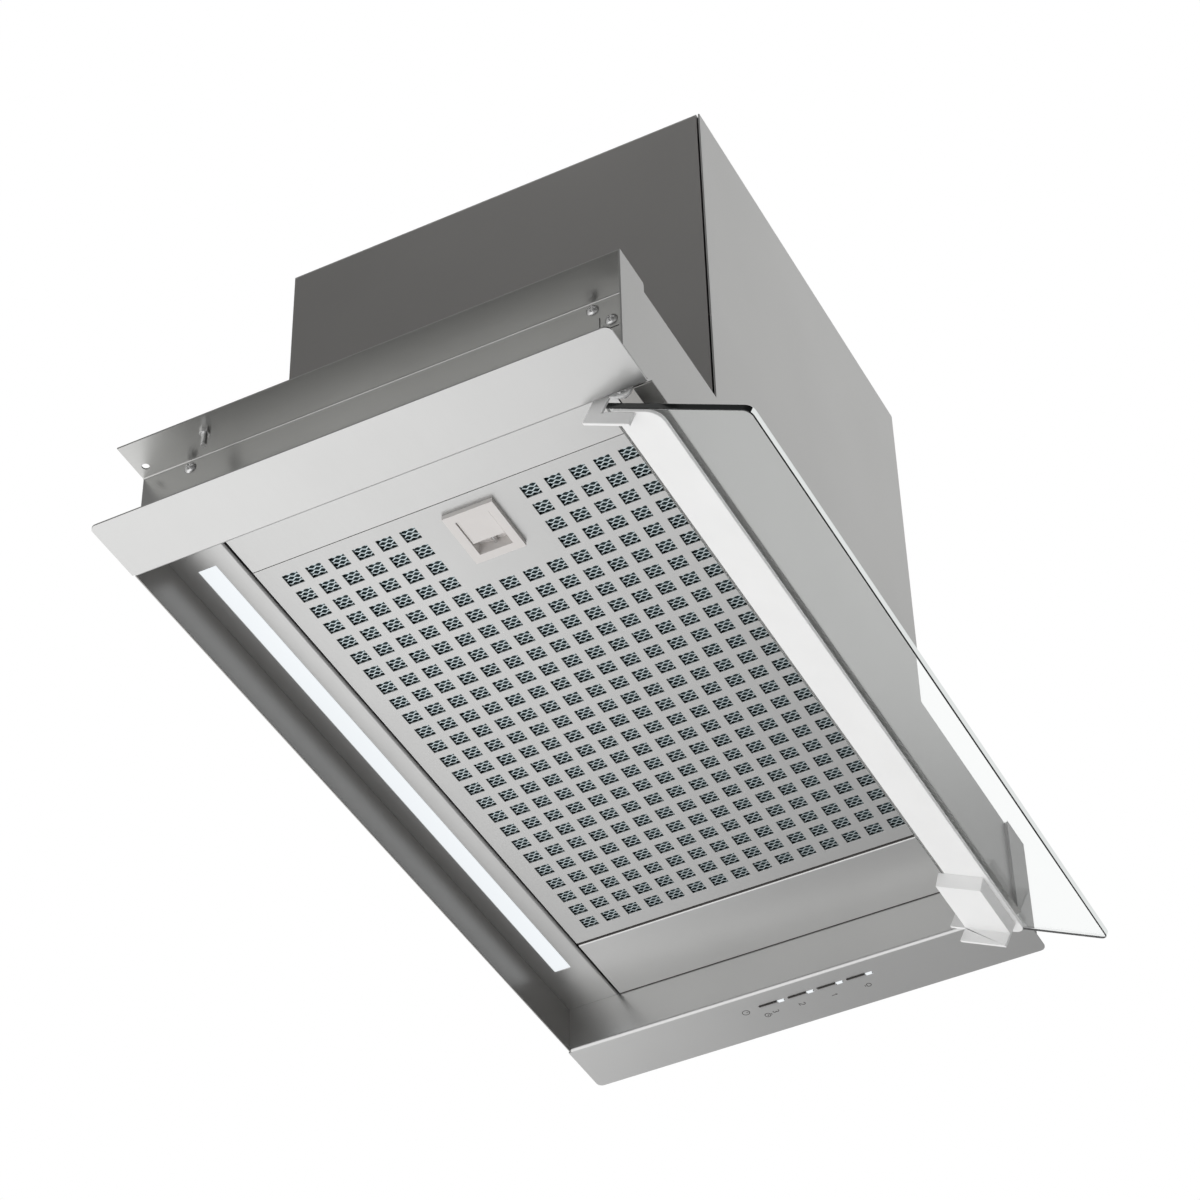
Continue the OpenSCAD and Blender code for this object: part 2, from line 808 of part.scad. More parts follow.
module fan_wheel() {
    color(grey_plastic) on_blower_axis() {
        difference() {
            union() {
                translate([0, 0, -wheel_disc_t / 2]) cylinder(r = wheel_r, h = wheel_disc_t);
                translate([0, 0, -wheel_hub_h]) cylinder(r = wheel_hub_r, h = wheel_hub_h);
            }
            cylinder(r = shaft_r + run_clear, h = 2 * wheel_w, center = true);
        }
        for (z = [-wheel_w / 2, wheel_w / 2 - wheel_rim_t])
            translate([0, 0, z]) difference() {
                cylinder(r = wheel_r, h = wheel_rim_t);
                translate([0, 0, -overrun])
                    cylinder(r = wheel_r - blade_ring_w, h = wheel_rim_t + 2 * overrun);
            }
    }
}

// Straight blades between the wheel's disc and its two rims
module fan_blades() {
    blade_w = blade_ring_w - 2 * blade_t;
    blade_len = (wheel_w - wheel_disc_t) / 2 - wheel_rim_t;
    color(grey_plastic) on_blower_axis()
        for (side = [0, 1], k = [0 : blade_count - 1])
            mirror([0, 0, side]) rotate(k * 360 / blade_count)
                translate([wheel_r - blade_ring_w / 2 - blade_t, 0, wheel_disc_t / 2])
                    rotate(blade_lean) translate([-blade_w / 2, -blade_t / 2, 0])
                        cube([blade_w, blade_t, blade_len]);
}

module motor_shaft() {
    color(steel) on_blower_axis() translate([0, 0, -wheel_hub_h - shaft_end])
        cylinder(r = shaft_r, h = wheel_hub_h + motor_gap + motor_len + 2 * shaft_end);
}

// The rotor and the stator lie in the middle of the motor's length
rotor_z = motor_gap + (motor_len - stator_len) / 2;

module motor_rotor() {
    color(dark_steel) on_blower_axis() translate([0, 0, rotor_z]) difference() {
        cylinder(r = rotor_r, h = stator_len);
        translate([0, 0, -overrun]) cylinder(r = shaft_r + run_clear, h = stator_len + 2 * overrun);
    }
}

module motor_stator() {
    color("peru") on_blower_axis() translate([0, 0, rotor_z]) difference() {
        cylinder(r = motor_r - motor_wall - run_clear, h = stator_len);
        translate([0, 0, -overrun]) cylinder(r = stator_bore_r, h = stator_len + 2 * overrun);
    }
}

module motor_can() {
    color(dark_steel) on_blower_axis() translate([0, 0, motor_gap]) difference() {
        cylinder(r = motor_r, h = motor_len - motor_wall);
        translate([0, 0, motor_wall]) cylinder(r = motor_r - motor_wall, h = motor_len);
        translate([0, 0, -overrun]) cylinder(r = shaft_r + run_clear, h = motor_len);
    }
}

module motor_end_cap() {
    color(dark_steel) on_blower_axis() translate([0, 0, motor_gap + motor_len - motor_wall])
        difference() {
            cylinder(r = motor_r, h = motor_wall);
            translate([0, 0, -overrun]) cylinder(r = shaft_r + run_clear, h = motor_wall + 2 * overrun);
        }
}

module motor_bracket() {
    face_x = motor_gap + motor_len;
    foot_x = scroll_half + scroll_wall;
    color(steel) translate([blower_x, blower_y, blower_z]) difference() {
        union() {
            translate([face_x, 0, 0]) rotate([0, 90, 0])
                cylinder(r = bracket_ring_r, h = bracket_arm_t);
            for (k = [0 : arm_count - 1]) rotate([k * 360 / arm_count, 0, 0]) {
                translate([face_x, -bracket_arm_w / 2, 0])
                    cube([bracket_arm_t, bracket_arm_w, bracket_foot_r]);
                translate([foot_x, -bracket_arm_w / 2, inlet_r + inlet_lip_w + seat_gap])
                    cube([face_x - foot_x + bracket_arm_t, bracket_arm_w,
                          bracket_foot_r - inlet_r - inlet_lip_w - seat_gap]);
            }
        }
        translate([face_x - overrun, 0, 0]) rotate([0, 90, 0])
            cylinder(r = shaft_r + shaft_end, h = bracket_arm_t + 2 * overrun);
        for (k = [0 : arm_count - 1]) rotate([k * 360 / arm_count, 0, 0])
            translate([face_x + bracket_arm_t, 0, blower_screw_ring]) rotate([0, 90, 0])
                screw_hole(face_x);
    }
}

module blower_screws() {
    face_x = motor_gap + motor_len + bracket_arm_t;
    color(grey_plastic) translate([blower_x, blower_y, blower_z])
        for (k = [0 : arm_count - 1]) rotate([k * 360 / arm_count, 0, 0])
            translate([face_x, 0, blower_screw_ring]) rotate([0, 90, 0])
                pan_screw(face_x - scroll_half);
}

// Electronics

case_x0 = box_x0 + sheet_t;
case_hi = [case_x0, case_y0, case_z0] + case_size;

module electronics_case() {
    color(dark_plastic) difference() {
        slab([case_x0, case_y0, case_z0], case_hi);
        slab([case_x0 + case_wall, case_y0 + case_wall, case_z0 + case_wall],
             case_hi + [overrun, -case_wall, -case_wall]);
    }
}

module electronics_cover() {
    color(grey_plastic) slab([case_hi[0], case_y0, case_z0], case_hi + [case_cover_t, 0, 0]);
}

module power_board() {
    lo = [case_x0 + case_wall, case_y0 + case_wall + seat_gap, case_z0 + case_wall + seat_gap];
    color("darkgreen") {
        slab(lo + [board_stand, 0, 0],
             [lo[0] + board_stand + board_t, case_hi[1] - case_wall - seat_gap,
              case_hi[2] - case_wall - seat_gap]);
        for (z = [lo[2] + part_size[0] / 2, case_hi[2] - part_size[2] * 2])
            translate([lo[0] + board_stand + board_t, lo[1] + part_size[0], z]) cube(part_size);
        for (y = [lo[1] + board_stand, case_hi[1] - part_size[0]],
             z = [lo[2] + board_stand, case_hi[2] - part_size[0]])
            translate([lo[0], y, z]) rotate([0, 90, 0]) cylinder(r = board_t, h = board_stand);
    }
}

module motor_capacitor() {
    color(grey_plastic)
        translate([case_x0 + capacitor_r, box_y1 - sheet_t - capacitor_r, canopy_z + sheet_t])
            cylinder(r = capacitor_r, h = capacitor_len);
}

module cable_gland() {
    color(dark_plastic) translate([box_x0 + gland_x, box_y1 - gland_y, 0]) difference() {
        union() {
            translate([0, 0, lid_z - gland_flange_t]) cylinder(r = gland_r, h = gland_h);
            for (z = [lid_z - gland_flange_t, box_h])
                translate([0, 0, z]) cylinder(r = gland_flange_r, h = gland_flange_t);
            translate([0, 0, box_h + gland_flange_t + gland_nut_h])
                cylinder(r = gland_nut_r, h = gland_nut_h, $fn = 6);
        }
        translate([0, 0, lid_z - gland_flange_t - overrun])
            cylinder(r = gland_bore_r, h = gland_h + gland_nut_h + gland_flange_t + 2 * overrun);
    }
}

// Light

module light_panel() {
    color(steel) difference() {
        prism_x(-wall_x, wall_x) {
            rect([light_panel_y + fold_r, recess_z], [back_inner_y, panel_top_z]);
            translate([light_panel_y + fold_r, recess_z + fold_r]) fold_quarter(180);
            rect([light_panel_y, recess_z + fold_r], [light_panel_y + sheet_t, recess_z + panel_edge_h]);
        }
        translate([0, lens_y, recess_z])
            cube([lens_len + 2 * lens_side_gap, lens_w + 2 * lens_side_gap, 2 * fold_r], center = true);
    }
}

module light_lens() {
    lip_x = lens_len / 2 + lens_lip;
    lip_y = lens_w / 2 + lens_lip;
    color("white") translate([0, lens_y, 0]) {
        slab([-lens_len / 2, -lens_w / 2, recess_z], [lens_len / 2, lens_w / 2, panel_top_z]);
        slab([-lip_x, -lip_y, panel_top_z], [lip_x, lip_y, panel_top_z + lens_lip_t]);
        for (y = [-lip_y, lip_y - lens_rib_t])
            slab([-lip_x, y, panel_top_z + lens_lip_t],
                 [lip_x, y + lens_rib_t, panel_top_z + lens_lip_t + lens_rib_h]);
    }
}

module light_board() {
    lip_x = lens_len / 2 + lens_lip;
    lip_y = lens_w / 2 + lens_lip;
    board_z = panel_top_z + lens_lip_t + lens_rib_h;
    color("white") translate([0, lens_y, board_z]) {
        slab([-lip_x, -lip_y, 0], [lip_x, lip_y, board_t]);
        for (k = [0 : chip_count - 1])
            translate([(k + 0.5 - chip_count / 2) * lens_len / chip_count - chip_size[0] / 2,
                       -chip_size[1] / 2, -chip_size[2]]) cube(chip_size);
    }
}

module light_driver() {
    color(white) translate([-wall_x + driver_inset_x, driver_y0, panel_top_z]) cube(driver_size);
}

// Grease filter

function hinge_tab_places() = [
    for (side = [-1, 1]) (filter_y0 + filter_y1) / 2 + side * hinge_tab_off
];

module square_holes() {
    for (i = [0 : hole_columns - 1], j = [0 : hole_rows - 1])
        if (i >= bare_columns || j < bare_first_row || j >= bare_first_row + bare_rows)
            translate([filter_x0 + hole_margin_x + i * hole_pitch,
                       filter_y1 - hole_margin_y - (hole_rows - 1 - j) * hole_pitch])
                square(hole_side, center = true);
}

// Opening for the latch in the sheet and in the mesh, with a gap around the bezel's pocket
module latch_opening(gap) {
    rect([latch_x0 + latch_frame_w - latch_wall - gap, latch_slot_y0 - latch_wall - gap],
         [latch_x0 + latch_w - latch_frame_w + latch_wall + gap, latch_slot_y1 + latch_wall + gap]);
}

latch_mid_y = latch_y0 + latch_d / 2;
latch_slot_y0 = latch_mid_y - latch_slot_d / 2;
latch_slot_y1 = latch_mid_y + latch_slot_d / 2;
latch_slot_x0 = latch_x0 + latch_frame_w;
latch_slot_x1 = latch_x0 + latch_w - latch_frame_w;
tongue_z = recess_z + tongue_lift;

// Room for the latch's tongue between x0 and x1
module tongue_slot(x0, x1) {
    slab([x0, latch_mid_y - slider_neck_d / 2 - latch_side_gap, tongue_z - latch_side_gap],
         [x1, latch_mid_y + slider_neck_d / 2 + latch_side_gap, tongue_z + tongue_t + latch_side_gap]);
}

module filter_tray() {
    color(steel) difference() {
        union() {
            translate([0, 0, recess_z]) linear_extrude(sheet_t) difference() {
                rect([filter_x0, filter_y0], [filter_x1, filter_y1]);
                square_holes();
                latch_opening(latch_side_gap);
            }
            translate([0, 0, recess_z]) linear_extrude(filter_h) difference() {
                rect([filter_x0, filter_y0], [filter_x1, filter_y1]);
                rect([filter_x0 + sheet_t, filter_y0 + sheet_t], [filter_x1 - sheet_t, filter_y1 - sheet_t]);
            }
        }
        tongue_slot(filter_x0 - overrun, filter_x0 + sheet_t + overrun);
    }
}

module filter_mesh() {
    color("slategray") translate([0, 0, panel_top_z])
        linear_extrude(mesh_t) difference() {
            rect([filter_x0 + sheet_t, filter_y0 + sheet_t], [filter_x1 - sheet_t, filter_y1 - sheet_t]);
            latch_opening(latch_side_gap);
            rect([filter_x0, latch_mid_y - slider_neck_d], [latch_slot_x0, latch_mid_y + slider_neck_d]);
        }
}

module filter_back_grid() {
    color(steel) translate([0, 0, panel_top_z + mesh_t]) linear_extrude(grid_t) {
        difference() {
            rect([filter_x0 + sheet_t, filter_y0 + sheet_t], [filter_x1 - sheet_t, filter_y1 - sheet_t]);
            rect([filter_x0 + grid_rim_w, filter_y0 + grid_rim_w],
                 [filter_x1 - grid_rim_w, filter_y1 - grid_rim_w]);
        }
        for (k = [1 : grid_bars])
            translate([filter_x0 + k * filter_w / (grid_bars + 1) - grid_bar_w / 2, filter_y0 + grid_rim_w])
                square([grid_bar_w, filter_d - 2 * grid_rim_w]);
        rect([filter_x0 + grid_rim_w, (filter_y0 + filter_y1 - grid_bar_w) / 2],
             [filter_x1 - grid_rim_w, (filter_y0 + filter_y1 + grid_bar_w) / 2]);
    }
}

module filter_hinge_tabs() {
    tab_z = recess_z + hinge_notch_h + seat_gap;
    color(steel) for (y = hinge_tab_places())
        slab([filter_x1, y - hinge_tab_w / 2, tab_z],
             [filter_x1 + hinge_tab_len, y + hinge_tab_w / 2, tab_z + hinge_tab_t]);
}

// Filter latch

module latch_bezel() {
    pocket_top = recess_z + latch_pocket_h;
    color(white) difference() {
        union() {
            translate([0, 0, recess_z - latch_proud]) linear_extrude(latch_proud)
                rect([latch_x0, latch_y0], [latch_x0 + latch_w, latch_y0 + latch_d]);
            translate([0, 0, recess_z]) linear_extrude(latch_pocket_h) latch_opening(0);
        }
        slab([latch_slot_x0, latch_slot_y0, recess_z - latch_proud - overrun],
             [latch_slot_x1, latch_slot_y1, pocket_top - latch_wall]);
        tongue_slot(latch_x0 - overrun, latch_slot_x0 + overrun);
    }
}

slider_x0 = latch_slot_x0 + seat_gap;
slider_z = recess_z - latch_proud + slider_sunk;

module latch_slider() {
    neck_x0 = slider_x0 + slider_neck_w / 2;
    color(white) {
        slab([slider_x0, latch_slot_y0 + latch_side_gap, slider_z],
             [slider_x0 + slider_w, latch_slot_y1 - latch_side_gap, slider_z + slider_t]);
        slab([neck_x0, latch_mid_y - slider_neck_d / 2, slider_z + slider_t],
             [neck_x0 + slider_neck_w, latch_mid_y + slider_neck_d / 2, tongue_z + tongue_t]);
        slab([filter_x0 + latch_side_gap, latch_mid_y - slider_neck_d / 2, tongue_z],
             [neck_x0, latch_mid_y + slider_neck_d / 2, tongue_z + tongue_t]);
    }
}

module latch_spring() {
    color("silver") translate([latch_slot_x1 - spring_len, latch_mid_y, tongue_z]) rotate([0, 90, 0])
        difference() {
            cylinder(r = spring_r, h = spring_len);
            translate([0, 0, -overrun]) cylinder(r = spring_bore_r, h = spring_len + 2 * overrun);
        }
}

// Glass visor, drawn level with its inner top edge at the origin and then set at its slope

module in_visor_frame() {
    translate([0, visor_y, visor_z]) rotate([visor_slope, 0, 0]) children();
}

module visor_glass() {
    color([0.85, 0.9, 0.88, 0.4]) in_visor_frame() translate([0, 0, -glass_t])
        linear_extrude(glass_t)
            round_front_plan(-glass_w / 2, glass_w / 2, -glass_d, 0, glass_corner_r);
}

module visor_rail() {
    color(white) in_visor_frame() translate([0, 0, glass_low]) linear_extrude(rail_t)
        round_front_plan(-glass_w / 2, glass_w / 2, -rail_inset - rail_d, -rail_inset, rail_corner_r);
}

// An arm behind the glass's inner edge, with the eye that turns on the hinge pin
module hinge_cheek(x, low) {
    difference() {
        prism_x(x - cheek_t, x) {
            rect([-visor_bracket_inset, low], [arm_clear + arm_d, glass_low - arm_clear]);
            rect([arm_clear, low], [arm_clear + arm_d, hinge_up + hinge_eye_r]);
            rect([-hinge_fore, hinge_up - hinge_eye_r], [arm_clear + arm_d, hinge_up + hinge_eye_r]);
            translate([-hinge_fore, hinge_up]) circle(hinge_eye_r);
        }
        translate([x - cheek_t - overrun, -hinge_fore, hinge_up]) rotate([0, 90, 0])
            cylinder(r = hinge_pin_r + run_clear, h = cheek_t + 2 * overrun);
    }
}

// The left cheek is a plain tab at the end of the rail
module left_visor_bracket() {
    low = glass_low - left_cheek_drop;
    color(white) in_visor_frame() mirror([1, 0, 0]) {
        hinge_cheek(left_cheek_x, low);
        prism_x(left_cheek_x - cheek_t, left_cheek_x)
            rect([-left_cheek_front, low], [-visor_bracket_inset + overrun, glass_low]);
    }
}

module right_visor_bracket() {
    low = glass_low - visor_bracket_h;
    inner_x = right_cheek_x - cheek_t - visor_bracket_w;
    front = -visor_bracket_inset - visor_bracket_d;
    color(white) in_visor_frame() {
        prism_y(front, -visor_bracket_inset)
            polygon([[inner_x, glass_low], [inner_x + visor_bracket_bevel, low], [right_cheek_x, low],
                     [right_cheek_x, glass_low]]);
        prism_x(right_cheek_x - cheek_t, right_cheek_x)
            rect([front, low - cheek_drop], [-visor_bracket_inset + overrun, glass_low]);
        hinge_cheek(right_cheek_x, low);
    }
}

// Each pin is riveted into the end wall and holds the cheek between its collar and its head
module hinge_pin(cheek_x) {
    translate([0, hinge_y, hinge_z]) rotate([0, 90, 0]) {
        translate([0, 0, cheek_x - cheek_t - pin_side_gap - pin_head_t])
            cylinder(r = pin_head_r, h = pin_head_t);
        translate([0, 0, cheek_x - cheek_t - pin_side_gap])
            cylinder(r = hinge_pin_r, h = side_x - cheek_x + cheek_t + pin_side_gap);
        translate([0, 0, cheek_x + pin_side_gap])
            cylinder(r = pin_collar_r, h = wall_x - cheek_x - pin_side_gap);
    }
}

module visor_hinge_pins() {
    color("silver") {
        hinge_pin(right_cheek_x);
        mirror([1, 0, 0]) hinge_pin(left_cheek_x);
    }
}

// Controls

module key(k) {
    y1 = slot_y0 - k * slot_pitch + slot_len / 2 - key_end_gap;
    floor_z = under_z + sheet_t + seat_gap;
    color(steel) {
        slab([slot_x - key_w / 2, y1 - key_len, under_z - key_proud],
             [slot_x + key_w / 2, y1, under_z + key_h]);
        slab([slot_x - key_shoulder_w / 2, y1 - key_len, floor_z],
             [slot_x + key_shoulder_w / 2, y1, floor_z + key_shoulder_t]);
    }
}

module speed_3_key() { key(0); }
module speed_2_key() { key(1); }
module speed_1_key() { key(2); }
module lamp_key() { key(3); }

module indicator_light_pipes() {
    color("white") for (k = [0 : key_count - 1])
        translate([slot_x - key_w / 2, slot_y0 - k * slot_pitch - slot_len / 2 + pipe_end_gap, under_z])
            cube([key_w, pipe_len, control_board_z - under_z]);
}

module control_board() {
    lo = [control_x0 + control_wall + seat_gap, control_y0 + control_wall + seat_gap];
    hi = [control_x1 - control_wall - seat_gap, control_y1 - control_wall - seat_gap];
    color("darkgreen") {
        slab([lo[0], lo[1], control_board_z], [hi[0], hi[1], control_board_z + board_t]);
        for (k = [0 : key_count - 1])
            translate([slot_x - switch_size[0] / 2, slot_y0 - k * slot_pitch - switch_size[1] / 2,
                       control_board_z - switch_size[2]]) cube(switch_size);
    }
}

module control_housing() {
    floor_z = under_z + sheet_t;
    top_z = floor_z + control_h;
    color(dark_plastic) {
        difference() {
            slab([control_x0, control_y0, floor_z], [control_x1, control_y1, top_z]);
            slab([control_x0 + control_wall, control_y0 + control_wall, floor_z - overrun],
                 [control_x1 - control_wall, control_y1 - control_wall, top_z - control_wall]);
        }
        for (x = [control_x0 + control_wall, control_x1 - control_wall - control_post_w],
             y = [control_y0 + control_wall, control_y1 - control_wall - control_post_w])
            slab([x, y, control_board_z + board_t],
                 [x + control_post_w, y + control_post_w, top_z - control_wall]);
    }
}

// Fasteners in the frame

module bracket_screws() {
    color("silver") for (side = [0, 1]) mirror([side, 0, 0]) at_end_screws() pan_screw(screw_reach);
}

module clamp_screws() {
    color("silver") for (side = [0, 1]) mirror([side, 0, 0])
        translate([bracket_x + clamp_screw_x, back_y - clamp_screw_back, -sheet_t]) {
            translate([0, 0, -clamp_nut_h]) cylinder(r = clamp_nut_r, h = clamp_nut_h, $fn = 6);
            translate([0, 0, -clamp_screw_len])
                cylinder(r = clamp_screw_r, h = clamp_screw_len + sheet_t + clamp_nut_h);
        }
}

left_end_frame();
right_end_frame();
left_mounting_bracket();
right_mounting_bracket();
front_panel();
front_rim();
back_wall();
canopy_top_plate();
left_filler_panel();
right_filler_panel();
motor_box();
motor_box_lid();
duct_collar();
damper_pin();
left_damper_flap();
right_damper_flap();
outlet_duct();
left_blower_housing();
right_blower_housing();
fan_wheel();
fan_blades();
motor_shaft();
motor_rotor();
motor_stator();
motor_can();
motor_end_cap();
motor_bracket();
electronics_case();
electronics_cover();
power_board();
motor_capacitor();
cable_gland();
light_panel();
light_lens();
light_board();
light_driver();
filter_tray();
filter_mesh();
filter_back_grid();
filter_hinge_tabs();
latch_bezel();
latch_slider();
latch_spring();
visor_glass();
visor_rail();
left_visor_bracket();
right_visor_bracket();
visor_hinge_pins();
control_housing();
control_board();
indicator_light_pipes();
speed_3_key();
speed_2_key();
speed_1_key();
lamp_key();
bracket_screws();
clamp_screws();
motor_box_screws();
collar_screws();
blower_screws();
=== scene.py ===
"""The looks of a built-in range hood with a fold-down glass visor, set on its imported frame."""
import json
import math

import bmesh
import bpy
from mathutils import Matrix, Vector


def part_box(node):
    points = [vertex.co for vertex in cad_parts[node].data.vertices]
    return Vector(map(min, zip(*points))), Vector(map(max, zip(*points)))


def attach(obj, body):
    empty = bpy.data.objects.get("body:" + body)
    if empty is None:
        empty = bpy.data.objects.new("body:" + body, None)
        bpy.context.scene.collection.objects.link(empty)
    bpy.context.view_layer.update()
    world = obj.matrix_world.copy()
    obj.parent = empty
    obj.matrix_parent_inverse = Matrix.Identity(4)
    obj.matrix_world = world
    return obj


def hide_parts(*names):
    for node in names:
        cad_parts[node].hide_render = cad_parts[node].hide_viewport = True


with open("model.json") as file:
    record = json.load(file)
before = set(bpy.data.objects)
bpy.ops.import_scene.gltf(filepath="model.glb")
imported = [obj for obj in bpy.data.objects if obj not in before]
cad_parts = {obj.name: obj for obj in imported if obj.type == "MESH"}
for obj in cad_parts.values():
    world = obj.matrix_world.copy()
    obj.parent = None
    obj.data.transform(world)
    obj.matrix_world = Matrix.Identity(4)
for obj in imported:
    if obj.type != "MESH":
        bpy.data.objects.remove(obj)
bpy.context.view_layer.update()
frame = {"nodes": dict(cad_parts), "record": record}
scene = bpy.context.scene

MM = 0.001

# Camera fitted to the photograph: its place, its line of sight, its up direction and its lens
CAMERA_PLACE = Vector((-1.3645, -0.6698, -1.3405))
CAMERA_FORWARD = Vector((0.66318, 0.32535, 0.67404))
CAMERA_UP = Vector((-0.59341, -0.32028, 0.73844))
CAMERA_LENS = 102.71
CAMERA_SENSOR = 36.0

# Colours of the finishes, as linear light
STEEL = (0.565, 0.565, 0.56)
FLANGE_STEEL = (0.575, 0.575, 0.57)
BOX_STEEL = (0.50, 0.50, 0.49)
DARK_STEEL = (0.37, 0.362, 0.352)
ZINC = (0.72, 0.72, 0.72)
WHITE = (0.95, 0.95, 0.945)
LATCH_WHITE = (0.80, 0.77, 0.75)
DARK_PLASTIC = (0.035, 0.035, 0.038)
GREY_PLASTIC = (0.32, 0.33, 0.34)
MESH_METAL = (0.55, 0.62, 0.64)
# Painted shade: the near-black colour of the pad that stands for the shade inside the filter
MESH_SHADE = (0.020, 0.045, 0.050)
# Ink of the printed symbols, also used as painted shade on side faces and dark strips beside gaps
INK_AND_SHADE = (0.05, 0.045, 0.042)
LIGHT_COLOUR = (0.93, 0.97, 1.0)
LIGHT_BOARD = (0.80, 0.80, 0.78)
MOTOR_STEEL = (0.42, 0.43, 0.44)
# Painted shade and painted glow for the visor glass's edges: black end faces and a pale glowing
# outer edge
GLASS_END_PAINTED_SHADE = (0.010, 0.012, 0.012)
GLASS_RIM_PAINTED_GLOW = (0.90, 0.93, 0.92)
GLASS_TINT = (0.97, 0.985, 0.98, 1)
LENS_BASE = (0.08, 0.08, 0.08, 1)
BOARD_GREEN = (0.010, 0.075, 0.030, 1)
TRACK_GREEN = (0.020, 0.14, 0.055, 1)
COPPER_DARK = (0.25, 0.08, 0.03, 1)
COPPER_LIGHT = (0.75, 0.32, 0.14, 1)
FLOOR_DARK = (0.80, 0.80, 0.80, 1)
FLOOR_LIGHT = (0.84, 0.84, 0.84, 1)

# The noise in the finishes: its scale per metre, its stretch, how much the roughness changes
# with it, and the strength and depth of its bumps
TINT_STOPS = (0.3, 0.7)
ALONG_X = (1, 40, 40)
ALONG_Y = (40, 1, 40)
ROUND_X = (1, 0.2, 0.2)
STREAK_SCALE = 60
BLOTCH_SCALE = 9
STEEL_SPREAD = 0.05
STREAK_BUMP = 0.06
FINE_BUMP = 0.05 * MM
GRAIN_SCALE = 900
CLOUD_SCALE = 30
PLASTIC_SPREAD = 0.04
GRAIN_BUMP = 0.08
GRAIN_DEEP = 0.04 * MM
PLATING_SCALE = 200
PLATING_SPREAD = 0.06
SMEAR_SCALE = 14
SMEAR_ROUGHNESS = 0.012
GLASS_IOR = 1.45
GLOW_CLOUD_SCALE = 5
TRACK_SCALE = 160
TRACK_BUMP = 0.2
TURN_SCALE = 300
TURN_BUMP = 0.5
TURN_DEEP = 0.2 * MM
FLOOR_CLOUD_SCALE = 1.5


def new_material(name):
    """A node material, its node tree and its Principled shader."""
    material = bpy.data.materials.new(name)
    material.use_nodes = True
    shader = material.node_tree.nodes["Principled BSDF"]
    return material, material.node_tree, shader


def node(tree, kind, **values):
    """A new node, with values for its sockets or its settings."""
    made = tree.nodes.new(kind)
    for key, value in values.items():
        if key in made.inputs:
            made.inputs[key].default_value = value
        else:
            setattr(made, key, value)
    return made


def object_noise(tree, scale, detail=2.0, stretch=(1, 1, 1)):
    """Noise in the object's own coordinates, stretched along its axes."""
    coordinates = node(tree, "ShaderNodeTexCoord")
    mapping = node(tree, "ShaderNodeMapping")
    mapping.inputs["Scale"].default_value = stretch
    noise = node(tree, "ShaderNodeTexNoise", Scale=scale, Detail=detail)
    tree.links.new(coordinates.outputs["Object"], mapping.inputs["Vector"])
    tree.links.new(mapping.outputs["Vector"], noise.inputs["Vector"])
    return noise.outputs["Fac"]


def span(tree, value, low, high):
    """Maps a factor of 0 to 1 onto low to high."""
    mapped = node(tree, "ShaderNodeMapRange")
    mapped.inputs["To Min"].default_value = low
    mapped.inputs["To Max"].default_value = high
    tree.links.new(value, mapped.inputs["Value"])
    return mapped.outputs["Result"]


def shade_of(colour, share):
    """A darker or lighter colour, with its alpha."""
    return tuple(c * share for c in colour) + (1,)


def tint(tree, value, dark, light):
    """Mixes two colours by a factor."""
    ramp = node(tree, "ShaderNodeValToRGB")
    stops = ramp.color_ramp.elements
    stops[0].position, stops[1].position = TINT_STOPS
    stops[0].color = dark
    stops[1].color = light
    tree.links.new(value, ramp.inputs["Fac"])
    return ramp.outputs["Color"]


def bump(tree, shader, value, strength, distance):
    """Small bumps in the surface by a factor."""
    made = node(tree, "ShaderNodeBump", Strength=strength, Distance=distance)
    tree.links.new(value, made.inputs["Height"])
    tree.links.new(made.outputs["Normal"], shader.inputs["Normal"])


def brushed_steel(name, colour, roughness, grain=ALONG_X):
    """Sheet steel brushed along one axis: fine streaks in its colour, its gloss and its surface."""
    material, tree, shader = new_material(name)
    streaks = object_noise(tree, STREAK_SCALE, 3, grain)
    blotches = object_noise(tree, BLOTCH_SCALE, 2)
    tree.links.new(tint(tree, blotches, shade_of(colour, 0.97), shade_of(colour, 1.02)),
                   shader.inputs["Base Color"])
    tree.links.new(span(tree, streaks, roughness - STEEL_SPREAD, roughness + STEEL_SPREAD),
                   shader.inputs["Roughness"])
    shader.inputs["Metallic"].default_value = 1
    bump(tree, shader, streaks, STREAK_BUMP, FINE_BUMP)
    return material


def plastic(name, colour, roughness):
    """Moulded plastic with a fine grain."""
    material, tree, shader = new_material(name)
    grains = object_noise(tree, GRAIN_SCALE, 2)
    clouds = object_noise(tree, CLOUD_SCALE, 2)
    tree.links.new(tint(tree, clouds, shade_of(colour, 0.97), shade_of(colour, 1.0)),
                   shader.inputs["Base Color"])
    tree.links.new(span(tree, grains, roughness - PLASTIC_SPREAD, roughness + PLASTIC_SPREAD),
                   shader.inputs["Roughness"])
    bump(tree, shader, grains, GRAIN_BUMP, GRAIN_DEEP)
    return material


def polished_metal(name, colour, roughness):
    """Plated metal with small changes in its gloss."""
    material, tree, shader = new_material(name)
    clouds = object_noise(tree, PLATING_SCALE, 3)
    tree.links.new(tint(tree, clouds, shade_of(colour, 0.9), shade_of(colour, 1.0)),
                   shader.inputs["Base Color"])
    tree.links.new(span(tree, clouds, roughness - PLATING_SPREAD, roughness + PLATING_SPREAD),
                   shader.inputs["Roughness"])
    shader.inputs["Metallic"].default_value = 1
    return material


def clear_glass(name):
    """Float glass with a faint green tint."""
    material, tree, shader = new_material(name)
    smears = object_noise(tree, SMEAR_SCALE, 2)
    tree.links.new(span(tree, smears, 0.0, SMEAR_ROUGHNESS), shader.inputs["Roughness"])
    shader.inputs["Base Color"].default_value = GLASS_TINT
    shader.inputs["Transmission Weight"].default_value = 1
    shader.inputs["IOR"].default_value = GLASS_IOR
    return material


